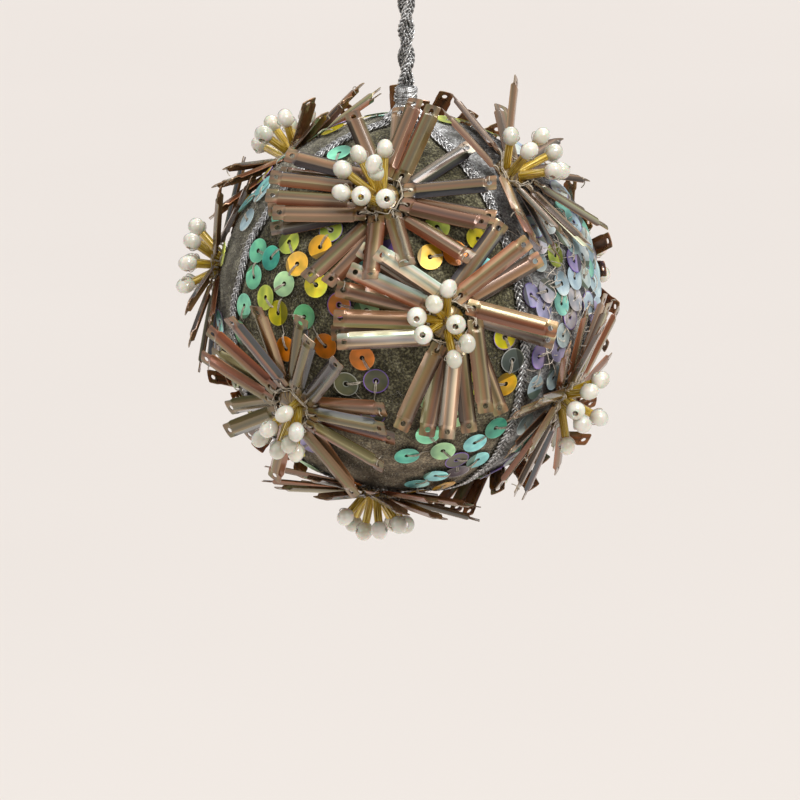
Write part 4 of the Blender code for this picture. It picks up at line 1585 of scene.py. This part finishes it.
def scattered_sequins(rng):
    """Sequins at even distances all over the ball."""
    for index in range(SCATTER_COUNT):
        height = 1 - 2 * (index + 0.5) / SCATTER_COUNT
        latitude = math.degrees(math.asin(height)) + rng.normal(0, 1)
        way = towards(latitude, index * GOLDEN_ANGLE + rng.normal(0, 1))
        colour = str(rng.choice(SCATTER_COLOURS))
        normal = tilted(way, rng.uniform(0, 9), rng.uniform(0, 360))
        yield Sequin(way, normal, SEQUIN_HEIGHT, colour, SCATTER_TRIES)


def moved(sequin, number, rng):
    """The same sequin a little away from its wanted place, lower and less tilted."""
    if number == 0:
        return sequin
    reach = MOVE_STEP * number / BALL_RADIUS
    side = tilted(sequin.way, math.degrees(reach), rng.uniform(0, 360))
    normal = tilted(side, rng.uniform(0, 6), rng.uniform(0, 360))
    return sequin._replace(way=side, normal=normal, height=SEQUIN_HEIGHT * (0.8 if number % 2 else 1.0))


def sequin_tones(colour, verts, rng):
    """Film colour over the disc, a little different on each disc, with painted highlights at the rim and
    round the hole, violet on some discs, and a painted sheen across it.
    """
    base = np.array(FILM[colour]) * rng.uniform(0.85, 1.12) + rng.normal(0, 0.012, 3)
    reach = np.hypot(verts[:, 0], verts[:, 1]) / SEQUIN_RADIUS
    # Painted highlight at the rim and round the hole, much lighter on the clear discs
    rim = (smooth_step(reach, 0.90, 1.0) + 0.6 * (1 - smooth_step(reach, 0.2, 0.3)))[:, None]
    other = base * 1.15 + (0.36 if colour == "clear" else 0.05)
    if rng.uniform() < VIOLET_RIM_SHARE:
        other = np.array(FILM["violet"]) * 1.5
    # Painted sheen: a random brightness gradient across the disc
    slant = rng.normal(0, 0.20, 2)
    sheen = 1 + (verts[:, 0] * slant[0] + verts[:, 1] * slant[1])[:, None] / SEQUIN_RADIUS
    return np.clip((base * (1 - rim) + other * rim) * sheen, 0.005, 1)


def sequins(obstacles, film, thread):
    rng = np.random.default_rng(23)
    solid = tree_of(obstacles)
    verts, faces, _ = sequin_shape()
    heap = Heap()
    laid = []
    for wanted in [*seen_sequins(rng), *panel_sequins(rng), *scattered_sequins(rng)]:
        for number in range(wanted.tries):
            trial = moved(wanted, number, rng)
            centre = BALL_CENTRE + trial.way * (BALL_RADIUS + trial.height)
            placed = put(verts, centre, trial.normal, rng.uniform(0, 6))
            tree = BVHTree.FromPolygons(placed.tolist(), faces)
            if tree.overlap(solid):
                continue
            if wanted.tries == SCATTER_TRIES and shows_in_front(centre, trial, solid):
                continue
            near = [other for spot, other, _ in laid if (spot - centre).length < TEST_REACH]
            if any(tree.overlap(other) for other in near):
                continue
            laid.append((centre, tree, trial))
            heap.add(placed, faces, sector(verts, rng), sequin_tones(trial.colour, verts, rng))
            break
    discs = heap.build("round_sequins", film, sharp=30)
    threads = chained_threads(laid, rng)
    slack_threads(threads)
    sewn = threads.build("sequin_threads", thread, sharp=0)
    for piece in (discs, sewn):
        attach(piece, "root")


def shows_in_front(centre, sequin, solid):
    """True where a disc turned to the front isn't wholly behind petals."""
    if sequin.way.dot(CAMERA_WAY) < 0.25:
        return False
    first, second = along_frame(sequin.normal)
    for x, y in ((0, 0), (1, 0), (-1, 0), (0, 1), (0, -1)):
        point = centre + (first * x + second * y) * SEQUIN_RADIUS
        if solid.ray_cast(point, CAMERA_WAY)[0] is None:
            return True
    return False


# The longest thread between two discs' holes, and how far a lone disc's stitch is aimed
THREAD_REACH = 9.5 * MM
LONE_STITCH = 4 * MM


def chained_threads(laid, rng):
    """Each disc's thread leaves over its rim towards a neighbour, and runs over the velvet to it."""
    heap = Heap()
    finder = KDTree(len(laid))
    for index, (centre, _, _) in enumerate(laid):
        finder.insert(centre, index)
    finder.balance()
    led = set()
    for index, (centre, _, sequin) in enumerate(laid):
        chosen = None
        for spot, other, distance in finder.find_n(centre, 5):
            if other != index and (other, index) not in led and distance < THREAD_REACH:
                chosen = spot
                led.add((index, other))
                break
        if chosen is None:
            chosen = centre + around(sequin.normal, rng.uniform(0, 2 * math.pi)) * LONE_STITCH
        stitch(heap, sequin, centre, chosen, rng)
    return heap


# Slack threads that cross the panel beside the first seam
SLACK_LATITUDES = (-20, 34)
SLACK_LONGITUDES = (42, 76)
SLACK_COUNT = 90
SLACK_POINTS = 8
SLACK_STEP_DEGREES = 1.3
SLACK_HEIGHT = 1.9 * MM


def slack_threads(heap):
    """Pale loops of thread that wander over the panel's sequins, both ends in the velvet."""
    rng = np.random.default_rng(77)
    for _ in range(SLACK_COUNT):
        latitude = rng.uniform(*SLACK_LATITUDES)
        longitude = rng.uniform(*SLACK_LONGITUDES)
        heading = rng.uniform(0, 2 * math.pi)
        reach = SLACK_HEIGHT * rng.uniform(0.6, 1.1)
        points = []
        for number in range(SLACK_POINTS):
            rise = reach * math.sin(math.pi * number / (SLACK_POINTS - 1))
            points.append(BALL_CENTRE + towards(latitude, longitude) * (BALL_RADIUS + rise))
            heading += rng.normal(0, 0.5)
            latitude += SLACK_STEP_DEGREES * math.cos(heading)
            longitude += SLACK_STEP_DEGREES * math.sin(heading)
        shade = rng.uniform(1.1, 2.1)
        route = even_route(points, 0.5 * MM)
        heap.add(*sweep(route, FINE_THREAD_RADIUS, 4), tone=(shade, shade, shade * 1.06))


# Where a disc's painted darker sector begins, in radii from its hole: at -2 it has none. There its
# film throws back no light and looks clear
SECTOR_CHORDS = (-2.0, -0.45, -0.7, -2.0, -2.0, -0.3)


def sector(verts, rng):
    """Second coordinate under one half marks the sector of a disc painted darker, where its film
    throws back no light and looks clear.
    """
    angle = rng.uniform(0, 2 * math.pi)
    chord = rng.choice(SECTOR_CHORDS)
    side = (verts[:, 0] * math.cos(angle) + verts[:, 1] * math.sin(angle)) / SEQUIN_RADIUS
    return np.stack([verts[:, 0] / SEQUIN_RADIUS, 0.5 + (side - chord) * 0.25], axis=1)


# A stitch's points: millimetres ahead of the hole and above the disc, and share of the strand's shift;
# its end is ahead of the hole and down in the velvet. Then its two strands' shifts to the side, and the
# height of the thread that runs on over the velvet
STITCH = ((0, -0.5, 0), (0, 0.08, 0.5), (0.7, 0.20, 1), (2.4, 0.24, 1.2), (2.8, 0.05, 1))
STITCH_END = (3.0, -0.6)
STITCH_SHIFTS = (-0.13 * MM, 0.17 * MM)
RUN_HEIGHT = 0.22 * MM


def stitch(heap, sequin, centre, target, rng):
    """Two strands from the hole over the rim, and one along the velvet to the target's rim."""
    toward = target - centre
    out = (toward - sequin.normal * toward.dot(sequin.normal)).normalized()
    side = sequin.normal.cross(out)
    for shift in STITCH_SHIFTS:
        points = [centre + (out * ahead + sequin.normal * above) * MM + side * shift * share
                  for ahead, above, share in STITCH]
        points += offsets(centre, out, sequin.way, (STITCH_END,))
        heap.add_thread(even_route(points, STITCH_STEP), STITCH_RADIUS, rng.uniform(0.8, 1.4))
    if toward.length > 2 * SEQUIN_RADIUS + 0.6 * MM:
        run = []
        for part in np.linspace(2.9 * MM / toward.length, 1 - 2.3 * MM / toward.length, 6):
            way = (centre + toward * part - BALL_CENTRE).normalized()
            run.append(BALL_CENTRE + way * (BALL_RADIUS + RUN_HEIGHT) + side * rng.normal(0, 0.08) * MM)
        heap.add_thread(run, STITCH_RADIUS, rng.uniform(0.7, 1.1))


def main():
    make_camera()
    silver = silver_material()
    hanging_cord(silver)
    make_lights()
    make_sky()
    make_floor()
    top_knot(silver)
    for number, longitude in enumerate(SEAM_LONGITUDES, 1):
        seam_braid(number, longitude, silver)
    ball(velvet_material())
    pile(pile_material())
    template = petal_template()
    bar = petal_material()
    gold = gold_material()
    pearl = pearl_material()
    thread = thread_material()
    obstacles = [piece for piece in bpy.data.objects if piece.name.startswith(("braid_", "knot"))]
    for number, flower in enumerate(FLOWERS):
        obstacles.append(petals(flower, template, bar, 100 + number))
        obstacles.extend(stamens(flower, gold, pearl, thread, 200 + number))
        obstacles.append(sewing(flower, thread, 300 + number))
    sequins(obstacles, sequin_material(), thread)


main()
